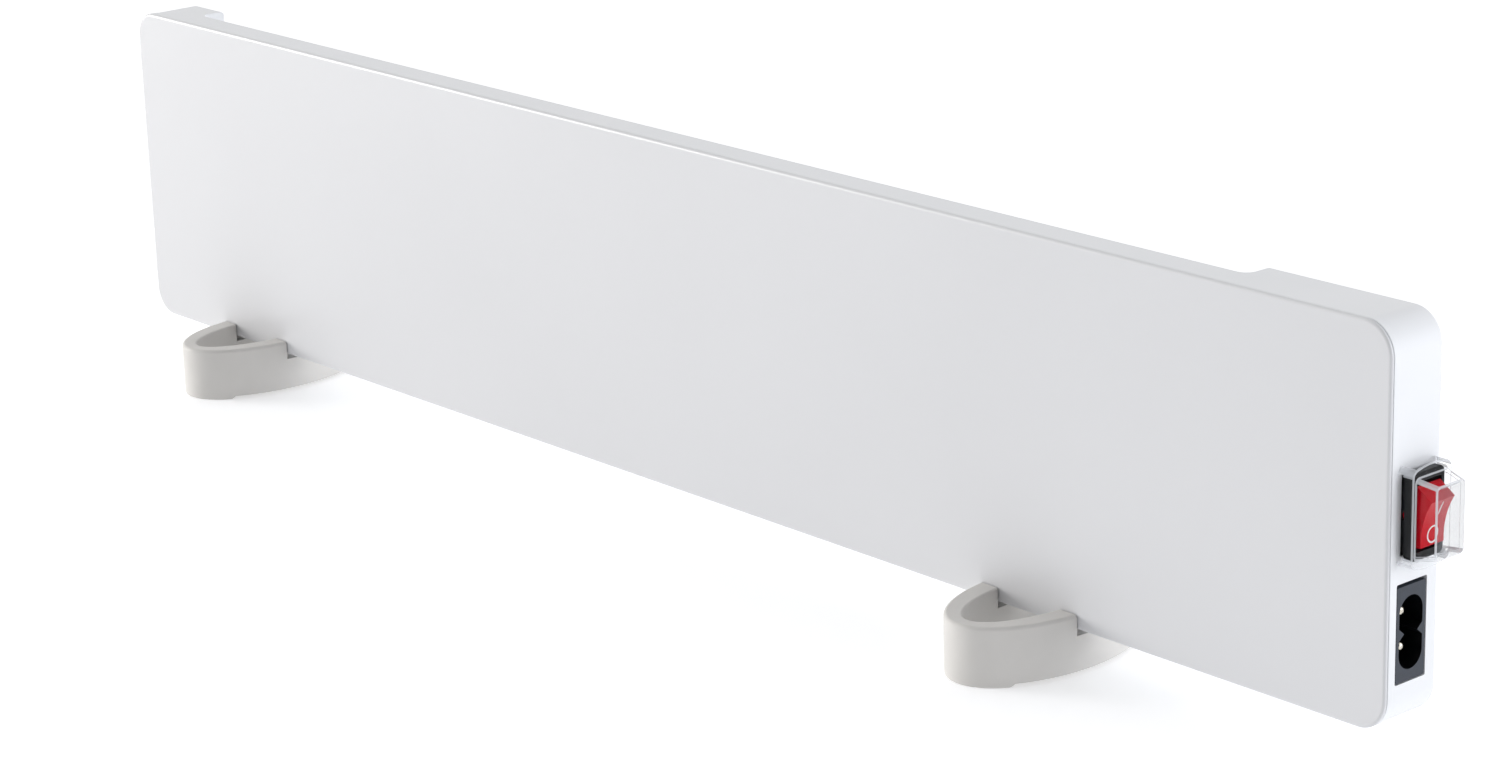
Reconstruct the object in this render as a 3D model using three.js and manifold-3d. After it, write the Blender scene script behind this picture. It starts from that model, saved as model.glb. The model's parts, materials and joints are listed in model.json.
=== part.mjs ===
// A slim infrared panel heater: a white radiant panel held upright by two clip-on feet.
// An aluminium front plate carries the heating film. A frame behind its edge and a moulded
// rear housing are drawn up to it by screws from the rear. The housing is thin along most of
// its length and deepens into a box at each end. The right box holds a rocker switch under a
// clear splash cover, and a two-pin appliance inlet.
//
// Millimetres. +X runs along the panel to the switch end, +Y to the rear, +Z up.
// The origin is the middle of the whole object's footprint, on the floor.
import * as THREE from "three";
import { mergeVertices } from "three/addons/utils/BufferGeometryUtils.js";
import Module from "manifold-3d";

const wasm = await Module();
wasm.setup();

// ---------------------------------------------------------------- driving dimensions

// The panel
const PANEL_LENGTH = 500;
const PANEL_HEIGHT = 96;
const CORNER_RADIUS = 8;
const SLIM_DEPTH = 9.7; // front face to rear face, between the end boxes
const BOX_DEPTH = 18; // front face to rear face, at the end boxes
const LEFT_BOX_WIDTH = 21;
const RIGHT_BOX_WIDTH = 50.7;
const LIFT = 11.7; // floor to the panel's lower edge

// Sheet, wall and running clearances
const PLATE_THICKNESS = 0.8;
const PLATE_EDGE_ROUND = 0.6;
const FRAME_REAR = 3; // front face to the frame's rear face
const FRAME_WALL = 1.4;
const FRAME_STEP = 0.15; // the frame stands this much outside the housing
const HOUSING_WALL = 2.4;
const SLIM_REAR_WALL = 1.8;
const BOX_EDGE_ROUND = 1.2;
const BOX_FILLET = 3; // where a box's inner wall meets the slim part
const LIP_DEPTH = 1.6; // the housing's lip inside the frame
const CLEARANCE = 0.3;

// The heating stack, from the front plate to the rear
const FILM_THICKNESS = 0.4;
const TRACK_THICKNESS = 0.2;
const TRACK_WIDTH = 5.5;
const TRACK_PITCH = 9;
const TRACK_MARGIN = 9; // the sheet's upper and lower edges to the track
const FOIL_THICKNESS = 0.2;
const BOARD_REAR_GAP = 0.5; // the board to the housing's rear wall
const STACK_MARGIN = 4; // sheet edge to the panel's outer edge
const TERMINAL_PAD_LENGTH = 6;
const TERMINAL_PAD_THICKNESS = 0.5;
const TERMINAL_BARREL_LENGTH = 5;
const TERMINAL_BARREL_WALL = 0.5;

// Rear screws and the standoffs that they enter
const SCREW_FROM_LEFT_BOX = 24;
const SCREW_FROM_RIGHT_BOX = 34.3;
const SCREW_FROM_EDGE = 9; // the panel's upper and lower edges
const SCREW_SHANK_RADIUS = 1.2;
const SCREW_HEAD_RADIUS = 2.75;
const SCREW_HEAD_HEIGHT = 1.6;
const SCREW_HEAD_SUNK = 0.4;
const SCREW_LENGTH = 5.2; // under the head
const SCREW_CROSS = 2.6;
const SCREW_CROSS_WIDTH = 0.6;
const STANDOFF_RADIUS = 2.6;
const STANDOFF_HEIGHT = 4.6;
const STANDOFF_BASE = 0.8; // left solid under the thread
const BOSS_RADIUS = 4.2;

// Keyholes for wall screws
const KEYHOLE_ROUND_RADIUS = 4.2;
const KEYHOLE_SLOT_WIDTH = 4.8;
const KEYHOLE_SLOT_RISE = 8;
const KEYHOLE_HEIGHT = 66; // above the panel's lower edge
const KEYHOLE_CUP_DEPTH = 6;
const KEYHOLE_CUP_WALL = 1.2;
const RIGHT_KEYHOLE_FROM_END = 41;

// Rocker switch, on the right end face
const SWITCH_FROM_FRONT = 9.6;
const SWITCH_HEIGHT = 51.2; // above the panel's lower edge
const SWITCH_BODY_WIDTH = 9.6;
const SWITCH_BODY_HEIGHT = 18.6;
const SWITCH_BODY_DEPTH = 14; // behind the end face
const SWITCH_SIDE_WALL = 0.55;
const SWITCH_END_WALL = 1.1;
const BEZEL_SIDE_OVERHANG = 0.8; // past the body
const BEZEL_END_OVERHANG = 1;
const BEZEL_THICKNESS = 2.4;
const BEZEL_EDGE_ROUND = 0.6;
const SNAP_REACH = 0.9; // the catches spread this far past the body
const SNAP_LENGTH = 4;
const SNAP_WIDTH = 6;
const WELL_DEPTH = 9;
const ROCKER_TIP_OUT = 5.1; // pivot to the rocker's ridges, outwards
const ROCKER_TIP_HALF = 5.8; // and up or down
const ROCKER_DISH = 0.9;
const ROCKER_SHOULDER = { out: 0.3, half: 7.6 }; // each is a corner of the rocker's side view
const ROCKER_BELLY = { out: -2.2, half: 6 };
const ROCKER_KEEL = { out: -4.2, half: 2 };
const ROCKER_TILT = THREE.MathUtils.degToRad(14); // to each side of level
const PIVOT_OUT = 1.1; // pivot axis out from the end face
const TRUNNION_RADIUS = 1.1;
const TRUNNION_LENGTH = 0.7; // past each side of the rocker

// Clear splash cover over the switch
const COVER_FLOOR = 0.85; // lip trapped under the bezel
const COVER_WALL = 0.7;
const COVER_BULGE = 1; // the skirt's ends are arched by this much
const COVER_CORNER_RADIUS = 1.8;
const COVER_EDGE_ROUND = 0.5;
const HOOD_SIDE_INSET = -0.15; // the bezel's edge to the hood's base
const HOOD_END_INSET = 0.7;
const HOOD_SIDE_TAPER = 0.85; // on each side, from its base to its outer face
const HOOD_END_TAPER = 0.85;
const HOOD_CORNER_RADIUS = 1.2;
const HOOD_REACH = 9.7; // end face to the hood's outer face

// Two-pin inlet, below the switch
const INLET_FROM_FRONT = 8.8;
const INLET_HEIGHT = 22.7; // above the panel's lower edge
const INLET_FACE_WIDTH = 9.8;
const INLET_FACE_HEIGHT = 22.8;
const INLET_DEPTH = 16;
const INLET_TOP_GAP = 0.9; // the cut-out is this much taller than the inlet
const SOCKET_WIDTH = 8;
const SOCKET_HEIGHT = 17.6;
const SOCKET_DEPTH = 12.4;
const SOCKET_TOOTH = 1.75;
const SOCKET_TOOTH_BASE = 3;
const PIN_SPACING = 8.6;
const PIN_RADIUS = 1.2;
const PIN_TIP_INSIDE = 2.6;

// Spade terminals, their sleeves and the wires
const TAB_WIDTH = 4.8;
const TAB_THICKNESS = 0.8;
const TAB_LENGTH = 8;
const SWITCH_TAB_OFFSET = 4;
const SLEEVE_WIDTH = 6.6;
const SLEEVE_THICKNESS = 3.6;
const SLEEVE_LENGTH = 13;
const WIRE_RADIUS = 1.1;
const WIRE_IN_SLEEVE = 3;

// Thermal cut-out, in a notch of the insulation board
const CUTOUT_LENGTH = 16;
const CUTOUT_WIDTH = 8;
const CUTOUT_THICKNESS = 4.2;
const CUTOUT_FROM_RIGHT_BOX = 50; // the box's inner wall to the cut-out's left end
const CUTOUT_ABOVE_MIDDLE = 9;
const CUTOUT_WIRE_SPACING = 4;

// Clip-on feet: elliptical rings with a notch across the top
const FOOT_WIDTH = 34;
const FOOT_LENGTH = 59.2; // front tip to rear tip
const FOOT_SIDE_WALL = 6.3;
const FOOT_TIP_WALL = 4.1;
const FOOT_GRIP = 3.9; // how far the arms reach above the panel's lower edge
const FOOT_EDGE_ROUND = 1;
const FOOT_SEAT_RIB = 1.5; // the panel stands on ribs of this height in the notch
const FOOT_SEAT_RIB_WIDTH = 1.6;
const FOOT_TOE_HEIGHT = 1;
const FOOT_TOE_LENGTH = 7.3;
const LEFT_FOOT_FROM_END = 54.5; // the panel's left end to the foot's middle
const RIGHT_FOOT_FROM_END = 112;

// Facets
const CORNER_STEPS = 7; // on each panel corner
const SMALL_STEPS = 4; // on each small corner
const RING_SIDES = 16; // on screws, pins and bosses
const FOOT_SIDES = 44;
const ROUND_LEVELS = 3; // steps across a rounded edge
const WIRE_SIDES = 8;

// ---------------------------------------------------------------- places worked out from them

const FRONT_Y = -SLIM_DEPTH / 2;
const PLATE_REAR_Y = FRONT_Y + PLATE_THICKNESS;
const SEAM_Y = FRONT_Y + FRAME_REAR;
const SLIM_REAR_Y = FRONT_Y + SLIM_DEPTH;
const BOX_REAR_Y = FRONT_Y + BOX_DEPTH;
const BOTTOM_Z = LIFT;
const TOP_Z = LIFT + PANEL_HEIGHT;
const MIDDLE_Z = LIFT + PANEL_HEIGHT / 2;
const LEFT_X = -PANEL_LENGTH / 2;
const RIGHT_X = PANEL_LENGTH / 2;
const LEFT_BOX_X = LEFT_X + LEFT_BOX_WIDTH;
const RIGHT_BOX_X = RIGHT_X - RIGHT_BOX_WIDTH;

const HOUSING_INNER = FRAME_STEP + HOUSING_WALL; // the panel's outline to the housing's cavity
const FILM_REAR_Y = PLATE_REAR_Y + FILM_THICKNESS;
const TRACK_REAR_Y = FILM_REAR_Y + TRACK_THICKNESS;
const FOIL_FRONT_Y = TRACK_REAR_Y + CLEARANCE;
const FOIL_REAR_Y = FOIL_FRONT_Y + FOIL_THICKNESS;
const BOARD_REAR_Y = SLIM_REAR_Y - SLIM_REAR_WALL - BOARD_REAR_GAP;
const STACK_LEFT_X = LEFT_X + LEFT_BOX_WIDTH + STACK_MARGIN;
const FILM_RIGHT_X = RIGHT_BOX_X - STACK_MARGIN;
const PAD_LEFT_X = FILM_RIGHT_X - STACK_MARGIN - TERMINAL_PAD_LENGTH;
const BOARD_RIGHT_X = PAD_LEFT_X - 2 * CLEARANCE;
const STACK_BOTTOM_Z = BOTTOM_Z + STACK_MARGIN;
const STACK_TOP_Z = TOP_Z - STACK_MARGIN;

// An even number of runs, as many as fit, so that both ends of the track lie at the right.
const TRACK_ROOM = STACK_TOP_Z - STACK_BOTTOM_Z - 2 * TRACK_MARGIN - TRACK_WIDTH;
const TRACK_RUNS = 2 * Math.floor((TRACK_ROOM / TRACK_PITCH + 1) / 2);
const LIVE_Z = MIDDLE_Z + TRACK_PITCH * (TRACK_RUNS - 1) / 2;
const NEUTRAL_Z = MIDDLE_Z - TRACK_PITCH * (TRACK_RUNS - 1) / 2;

const SWITCH_Y = FRONT_Y + SWITCH_FROM_FRONT;
const SWITCH_Z = BOTTOM_Z + SWITCH_HEIGHT;
const WELL_WIDTH = SWITCH_BODY_WIDTH - 2 * SWITCH_SIDE_WALL;
const WELL_HEIGHT = SWITCH_BODY_HEIGHT - 2 * SWITCH_END_WALL;
const BEZEL_WIDTH = SWITCH_BODY_WIDTH + 2 * BEZEL_SIDE_OVERHANG;
const BEZEL_HEIGHT = SWITCH_BODY_HEIGHT + 2 * BEZEL_END_OVERHANG;
const BEZEL_BACK = COVER_FLOOR + CLEARANCE / 2; // outwards from the end face
const BEZEL_FRONT = BEZEL_BACK + BEZEL_THICKNESS;
const COVER_SKIRT_HEIGHT = BEZEL_FRONT + CLEARANCE + COVER_WALL;
const END_X = RIGHT_X - FRAME_STEP; // the housing's end face
const INLET_Y = FRONT_Y + INLET_FROM_FRONT;
const INLET_Z = BOTTOM_Z + INLET_HEIGHT;
const INLET_TAB_START_X = RIGHT_X - INLET_DEPTH;
const SLEEVE_FROM_BODY = 0.5; // switch body or inlet rib to the first sleeve face
const INLET_RIB_THICKNESS = 1.5;
const INLET_RIB_X = INLET_TAB_START_X - CLEARANCE - INLET_RIB_THICKNESS;
const INLET_SLEEVE_X = INLET_RIB_X - SLEEVE_FROM_BODY;
const SWITCH_REAR_X = RIGHT_X - SWITCH_BODY_DEPTH;
const SWITCH_SLEEVE_X = SWITCH_REAR_X - SLEEVE_FROM_BODY;

const KEYHOLE_Z = BOTTOM_Z + KEYHOLE_HEIGHT;
const LEFT_KEYHOLE_X = LEFT_X + LEFT_BOX_WIDTH / 2;
const RIGHT_KEYHOLE_X = RIGHT_X - RIGHT_KEYHOLE_FROM_END;

const NOTCH_FLOOR_Z = LIFT - FOOT_SEAT_RIB;
const FOOT_TOP_Z = LIFT + FOOT_GRIP;

const SCREW_LEFT_X = LEFT_BOX_X + SCREW_FROM_LEFT_BOX;
const SCREW_RIGHT_X = RIGHT_BOX_X - SCREW_FROM_RIGHT_BOX;
const SCREW_PLACES = [SCREW_LEFT_X, (SCREW_LEFT_X + SCREW_RIGHT_X) / 2, SCREW_RIGHT_X].flatMap((x) => [
  { x, z: TOP_Z - SCREW_FROM_EDGE },
  { x, z: BOTTOM_Z + SCREW_FROM_EDGE },
]);

// ---------------------------------------------------------------- materials

function finish(color, roughness, metalness = 0, extra = {}) {
  return new THREE.MeshStandardMaterial({ color, roughness, metalness, ...extra });
}

const enamelWhite = finish(0xe9ecee, 0.22, 0.1);
const housingWhite = finish(0xeff1f2, 0.35);
const footGrey = finish(0xb9b8b6, 0.6);
const switchBlack = finish(0x1c1d22, 0.45);
const rockerRed = finish(0xc8102e, 0.3);
const clearPlastic = finish(0xf4f6f8, 0.08, 0, { transparent: true, opacity: 0.3 });
const inletBlack = finish(0x2b2e35, 0.5);
const nickel = finish(0xd8d6cf, 0.25, 1);
const brass = finish(0xc9a55a, 0.35, 1);
const zincSteel = finish(0xb9bcc0, 0.35, 1);
const filmAmber = finish(0xb9812f, 0.5);
const trackMetal = finish(0x8d8f91, 0.4, 1);
const foilMetal = finish(0xdadcde, 0.3, 1);
const boardWool = finish(0xe6e0cf, 0.95);
const sleeveNylon = finish(0x2f6fb5, 0.45);
const cutoutWhite = finish(0xe4e2da, 0.55);
const wireBrown = finish(0x6b4226, 0.5);
const wireBlue = finish(0x2a5da8, 0.5);

// ---------------------------------------------------------------- flat outlines

const point = (x, y) => new THREE.Vector2(x, y);

// A polygon's points, with each corner { at, radius } turned into an arc of so many steps.
function roundedPolygon(corners, steps) {
  const points = [];
  corners.forEach(({ at, radius }, i) => {
    if (!radius) {
      points.push(at.clone());
      return;
    }
    const before = corners[(i + corners.length - 1) % corners.length].at;
    const after = corners[(i + 1) % corners.length].at;
    const toBefore = before.clone().sub(at).normalize();
    const toAfter = after.clone().sub(at).normalize();
    const halfAngle = Math.acos(THREE.MathUtils.clamp(toBefore.dot(toAfter), -1, 1)) / 2;
    const centre = at.clone().addScaledVector(
      toBefore.clone().add(toAfter).normalize(), radius / Math.sin(halfAngle));
    const start = at.clone().addScaledVector(toBefore, radius / Math.tan(halfAngle)).sub(centre);
    const turn = Math.PI - 2 * halfAngle;
    const side = Math.sign(toAfter.cross(toBefore));
    for (let k = 0; k <= steps; k++) {
      points.push(start.clone().rotateAround(point(0, 0), side * turn * k / steps).add(centre));
    }
  });
  return points;
}

// A rectangle between two corners; radii run lower left, lower right, upper right, upper left.
function rectangle(x0, y0, x1, y1, radii = [0, 0, 0, 0], steps = SMALL_STEPS) {
  const ats = [point(x0, y0), point(x1, y0), point(x1, y1), point(x0, y1)];
  return roundedPolygon(ats.map((at, i) => ({ at, radius: radii[i] })), steps);
}

function centredRectangle(width, height, radius = 0, centre = point(0, 0)) {
  return rectangle(centre.x - width / 2, centre.y - height / 2,
    centre.x + width / 2, centre.y + height / 2, Array(4).fill(radius));
}

function circle(radius, centre = point(0, 0), sides = RING_SIDES) {
  return Array.from({ length: sides }, (_, i) => {
    const angle = 2 * Math.PI * i / sides;
    return point(centre.x + radius * Math.cos(angle), centre.y + radius * Math.sin(angle));
  });
}

function ellipse(halfWidth, halfLength) {
  return Array.from({ length: FOOT_SIDES }, (_, i) => {
    const angle = 2 * Math.PI * i / FOOT_SIDES;
    return point(halfWidth * Math.cos(angle), halfLength * Math.sin(angle));
  });
}

// The panel's outline seen from the front, drawn in by an inset.
function panelOutline(inset = 0) {
  const radius = CORNER_RADIUS - inset;
  return rectangle(LEFT_X + inset, BOTTOM_Z + inset, RIGHT_X - inset, TOP_Z - inset,
    Array(4).fill(radius), CORNER_STEPS);
}

// A closed band of even width along a line with square turns.
function ribbon(line, width) {
  const side = (sign) => line.map((at, i) => {
    const into = (i ? at.clone().sub(line[i - 1]) : line[1].clone().sub(at)).normalize();
    const out = (i < line.length - 1 ? line[i + 1].clone().sub(at) : into.clone()).normalize();
    const push = point(-into.y, into.x).add(into.dot(out) > 0.5 ? point(0, 0) : point(-out.y, out.x));
    return at.clone().addScaledVector(push, sign * width / 2);
  });
  return [...side(-1), ...side(1).reverse()];
}

// ---------------------------------------------------------------- solids

// Which way an outline faces: each turns (outline x, outline y, depth) into the object's axes.
const FACING = {
  x: new THREE.Matrix4().makeBasis(new THREE.Vector3(0, 1, 0), new THREE.Vector3(0, 0, 1),
    new THREE.Vector3(1, 0, 0)),
  // outlines in X and Z, depth towards the front, so depths are given as -Y
  y: new THREE.Matrix4().makeBasis(new THREE.Vector3(1, 0, 0), new THREE.Vector3(0, 0, 1),
    new THREE.Vector3(0, -1, 0)),
  z: new THREE.Matrix4(),
};

function toSolid(geometry) {
  geometry.deleteAttribute("normal");
  geometry.deleteAttribute("uv");
  const merged = mergeVertices(geometry, 1e-4);
  return new wasm.Manifold(new wasm.Mesh({
    numProp: 3,
    vertProperties: merged.attributes.position.array,
    triVerts: new Uint32Array(merged.index.array),
  }));
}

// An outline carried straight from one depth to another.
function prism(axis, outline, from, to, holes = []) {
  const shape = new THREE.Shape(outline);
  shape.holes = holes.map((hole) => new THREE.Path(hole));
  const [low, high] = axis === "y" ? [-to, -from] : [from, to];
  const geometry = new THREE.ExtrudeGeometry(shape, { depth: high - low, bevelEnabled: false });
  geometry.translate(0, 0, low);
  geometry.applyMatrix4(FACING[axis]);
  return toSolid(geometry);
}

// A skin through outlines of equal point count at several depths, closed at both ends.
function loft(axis, levels) {
  const rising = axis === "y" ? levels.map(({ at, outline }) => ({ at: -at, outline })) : levels;
  const ordered = [...rising].sort((a, b) => a.at - b.at);
  const count = ordered[0].outline.length;
  const positions = ordered.flatMap(({ at, outline }) => outline.flatMap((p) => [p.x, p.y, at]));
  const faces = [];
  for (let level = 0; level < ordered.length - 1; level++) {
    for (let i = 0; i < count; i++) {
      const a = level * count + i;
      const b = level * count + (i + 1) % count;
      faces.push(a, b, b + count, a, b + count, a + count);
    }
  }
  const top = (ordered.length - 1) * count;
  for (const [a, b, c] of THREE.ShapeUtils.triangulateShape(ordered[0].outline, [])) {
    faces.push(a, c, b);
    faces.push(top + a, top + b, top + c);
  }
  const geometry = new THREE.BufferGeometry();
  geometry.setAttribute("position", new THREE.Float32BufferAttribute(positions, 3));
  geometry.setIndex(faces);
  geometry.applyMatrix4(FACING[axis]);
  return toSolid(geometry);
}

// The levels of an edge rounded by a radius: the face at depth "face", the body on the inner side.
function roundedEdge(outlineAt, face, inwards, radius) {
  return Array.from({ length: ROUND_LEVELS + 1 }, (_, i) => {
    const angle = Math.PI / 2 * i / ROUND_LEVELS;
    return {
      at: face + inwards * radius * (1 - Math.sin(angle)),
      outline: outlineAt(radius * (1 - Math.cos(angle))),
    };
  });
}

function tube(points, radius, steps) {
  const curve = new THREE.CatmullRomCurve3(points, false, "centripetal");
  return new THREE.ExtrudeGeometry(new THREE.Shape(circle(radius, point(0, 0), WIRE_SIDES)),
    { extrudePath: curve, steps, bevelEnabled: false });
}

const joinAll = (solids) => solids.reduce((sum, next) => sum.add(next));
const cutAll = (solid, cutters) => cutters.reduce((left, next) => left.subtract(next), solid);

function toGeometry(shape) {
  if (shape.isBufferGeometry) return shape;
  const { vertProperties, triVerts } = shape.getMesh();
  const geometry = new THREE.BufferGeometry();
  geometry.setAttribute("position", new THREE.BufferAttribute(new Float32Array(vertProperties), 3));
  geometry.setIndex(new THREE.BufferAttribute(new Uint32Array(triVerts), 1));
  geometry.computeVertexNormals();
  return geometry;
}

function part(name, shape, material) {
  const mesh = new THREE.Mesh(toGeometry(shape), material);
  mesh.name = name;
  return mesh;
}

// ---------------------------------------------------------------- front plate and heating stack

function frontPlate() {
  return loft("y", [
    ...roundedEdge(panelOutline, FRONT_Y, 1, PLATE_EDGE_ROUND),
    { at: PLATE_REAR_Y, outline: panelOutline() },
  ]);
}

// A ring behind the plate's edge. The gap that is left between the two shows as a dark line.
function frontFrame() {
  return prism("y", panelOutline(), PLATE_REAR_Y + CLEARANCE, SEAM_Y, [panelOutline(FRAME_WALL)]);
}

// The sheets of the stack are pierced where the standoffs and screw bosses pass through them.
function stackSheet(rightX, from, to, passRadius) {
  const outline = rectangle(STACK_LEFT_X, STACK_BOTTOM_Z, rightX, STACK_TOP_Z, Array(4).fill(3));
  const holes = SCREW_PLACES.map(({ x, z }) => circle(passRadius + 2 * CLEARANCE, point(x, z)));
  return prism("y", outline, from, to, holes);
}

// One unbroken band that runs to and fro along the film, with both ends at the right.
function heatingTrack() {
  const nearX = FILM_RIGHT_X - STACK_MARGIN - TRACK_WIDTH / 2;
  const farX = STACK_LEFT_X + STACK_MARGIN;
  const line = [];
  for (let run = 0; run < TRACK_RUNS; run++) {
    const z = LIVE_Z - run * TRACK_PITCH;
    const ends = [point(nearX, z), point(farX, z)];
    line.push(...(run % 2 ? ends.reverse() : ends));
  }
  return prism("y", ribbon(line, TRACK_WIDTH), FILM_REAR_Y, TRACK_REAR_Y);
}

const TERMINAL_BARREL_RADIUS = WIRE_RADIUS + CLEARANCE + TERMINAL_BARREL_WALL;
const TERMINAL_BARREL_Y = TRACK_REAR_Y + TERMINAL_BARREL_RADIUS;

// A brass tag pressed onto the end of the track, with a barrel that holds its wire.
function filmTerminal(z) {
  const pad = prism("y", rectangle(PAD_LEFT_X, z - TRACK_WIDTH / 2,
    FILM_RIGHT_X + 1, z + TRACK_WIDTH / 2, Array(4).fill(1)),
  TRACK_REAR_Y, TRACK_REAR_Y + TERMINAL_PAD_THICKNESS);
  const centre = point(TERMINAL_BARREL_Y, z);
  const barrel = prism("x", circle(TERMINAL_BARREL_RADIUS, centre, 16),
    FILM_RIGHT_X, FILM_RIGHT_X + TERMINAL_BARREL_LENGTH);
  const bore = prism("x", circle(WIRE_RADIUS + CLEARANCE, centre, 16),
    FILM_RIGHT_X + 1, FILM_RIGHT_X + TERMINAL_BARREL_LENGTH + 1);
  return pad.add(barrel).subtract(bore);
}

const CUTOUT_LEFT_X = RIGHT_BOX_X - CUTOUT_FROM_RIGHT_BOX;
const CUTOUT_RIGHT_X = CUTOUT_LEFT_X + CUTOUT_LENGTH;
const CUTOUT_Z = MIDDLE_Z + CUTOUT_ABOVE_MIDDLE;
const CUTOUT_MIDDLE_Y = FOIL_REAR_Y + CUTOUT_THICKNESS / 2;

// The notch in the board's right edge leaves room for the cut-out and its two wires.
function insulationBoard() {
  const half = CUTOUT_WIDTH / 2 + 3 * CLEARANCE;
  const notch = prism("y", rectangle(CUTOUT_LEFT_X - 3 * CLEARANCE, CUTOUT_Z - half,
    BOARD_RIGHT_X + 1, CUTOUT_Z + half), FOIL_REAR_Y - 1, BOARD_REAR_Y + 1);
  return stackSheet(BOARD_RIGHT_X, FOIL_REAR_Y, BOARD_REAR_Y, BOSS_RADIUS).subtract(notch);
}

function thermalCutout() {
  const body = prism("x", centredRectangle(CUTOUT_THICKNESS, CUTOUT_WIDTH, 1.2,
    point(CUTOUT_MIDDLE_Y, CUTOUT_Z)), CUTOUT_LEFT_X, CUTOUT_RIGHT_X);
  const wireHole = (side) => prism("x", circle(WIRE_RADIUS + CLEARANCE,
    point(CUTOUT_MIDDLE_Y, CUTOUT_Z + side * CUTOUT_WIRE_SPACING / 2), 12),
  CUTOUT_RIGHT_X - WIRE_IN_SLEEVE, CUTOUT_RIGHT_X + 1);
  return cutAll(body, [wireHole(-1), wireHole(1)]);
}

// ---------------------------------------------------------------- rear housing

function switchOpening() {
  const outline = centredRectangle(SWITCH_BODY_WIDTH + 2 * CLEARANCE,
    SWITCH_BODY_HEIGHT + 2 * CLEARANCE, 0, point(SWITCH_Y, SWITCH_Z));
  return prism("x", outline, END_X - HOUSING_WALL - 1, RIGHT_X + 1);
}

function inletOpening() {
  const half = INLET_FACE_WIDTH / 2 + CLEARANCE;
  const outline = rectangle(INLET_Y - half, INLET_Z - INLET_FACE_HEIGHT / 2 - CLEARANCE,
    INLET_Y + half, INLET_Z + INLET_FACE_HEIGHT / 2 + INLET_TOP_GAP, [0.3, 0.3, 0.8, 0.3]);
  return prism("x", outline, END_X - HOUSING_WALL - 1, RIGHT_X + 1);
}

// A rib across the box, behind the inlet, that takes the push of the plug.
function inletRib() {
  const reach = INLET_FACE_HEIGHT / 2 + 2;
  const plate = rectangle(INLET_Y - INLET_FACE_WIDTH / 2, INLET_Z - reach,
    BOX_REAR_Y - HOUSING_WALL / 2, INLET_Z + reach);
  const window = centredRectangle(TAB_WIDTH + 1.4, PIN_SPACING + TAB_THICKNESS + 3, 0.5,
    point(INLET_Y, INLET_Z));
  return prism("x", plate, INLET_RIB_X, INLET_RIB_X + INLET_RIB_THICKNESS, [window]);
}

function keyholeOutline(x) {
  const half = KEYHOLE_SLOT_WIDTH / 2;
  const startAngle = Math.acos(half / KEYHOLE_ROUND_RADIUS);
  const sweep = Math.PI + 2 * startAngle;
  const points = [];
  for (let i = 0; i <= 18; i++) {
    const angle = Math.PI - startAngle + sweep * i / 18;
    points.push(point(x + KEYHOLE_ROUND_RADIUS * Math.cos(angle),
      KEYHOLE_Z + KEYHOLE_ROUND_RADIUS * Math.sin(angle)));
  }
  for (let i = 0; i <= 8; i++) {
    const angle = Math.PI * i / 8;
    points.push(point(x + half * Math.cos(angle),
      KEYHOLE_Z + KEYHOLE_SLOT_RISE + half * Math.sin(angle)));
  }
  return points;
}

// A closed cup behind each keyhole keeps the wall screw away from the wiring.
function keyholeCup(x) {
  const halfWidth = KEYHOLE_ROUND_RADIUS + CLEARANCE;
  const low = KEYHOLE_Z - KEYHOLE_ROUND_RADIUS - CLEARANCE;
  const high = KEYHOLE_Z + KEYHOLE_SLOT_RISE + KEYHOLE_ROUND_RADIUS;
  const outlineAt = (grow) => rectangle(x - halfWidth - grow, low - grow,
    x + halfWidth + grow, high + grow, Array(4).fill(1));
  const wallFront = BOX_REAR_Y - HOUSING_WALL;
  const cupFront = wallFront - KEYHOLE_CUP_DEPTH;
  return {
    outer: prism("y", outlineAt(KEYHOLE_CUP_WALL), cupFront, wallFront + 1),
    inner: prism("y", outlineAt(0), cupFront + KEYHOLE_CUP_WALL, wallFront),
    mouth: prism("y", keyholeOutline(x), wallFront - 1, BOX_REAR_Y + 1),
  };
}

function screwBoss({ x, z }) {
  const seatY = PLATE_REAR_Y + STANDOFF_HEIGHT;
  const headSeatY = SLIM_REAR_Y - SCREW_HEAD_HEIGHT - SCREW_HEAD_SUNK;
  return {
    outer: prism("y", circle(BOSS_RADIUS, point(x, z)), seatY, SLIM_REAR_Y - 1),
    pass: prism("y", circle(SCREW_SHANK_RADIUS + CLEARANCE, point(x, z)), seatY - 1, SLIM_REAR_Y),
    sink: prism("y", circle(SCREW_HEAD_RADIUS + CLEARANCE, point(x, z)), headSeatY, SLIM_REAR_Y + 1),
  };
}

// The panel's outline carried back to a stepped rear: deep at both boxes, slim between them.
function steppedBody({ frontY, outlineAt, boxWall, slimWall, fillet, edgeRound }) {
  const rearY = BOX_REAR_Y - boxWall;
  const slimY = SLIM_REAR_Y - slimWall;
  const [leftX, rightX] = [LEFT_BOX_X - boxWall, RIGHT_BOX_X + boxWall];
  const corner = (x, y, radius = 0) => ({ at: point(x, y), radius });
  const plan = roundedPolygon([
    corner(LEFT_X, frontY), corner(RIGHT_X, frontY),
    corner(RIGHT_X, rearY), corner(rightX, rearY, edgeRound), corner(rightX, slimY, fillet),
    corner(leftX, slimY, fillet), corner(leftX, rearY, edgeRound), corner(LEFT_X, rearY),
  ], SMALL_STEPS);
  const body = loft("y", [
    { at: frontY, outline: outlineAt(0) },
    ...(edgeRound ? roundedEdge(outlineAt, rearY, -1, edgeRound) : [{ at: rearY, outline: outlineAt(0) }]),
  ]);
  return body.intersect(prism("z", plan, BOTTOM_Z, TOP_Z));
}

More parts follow.
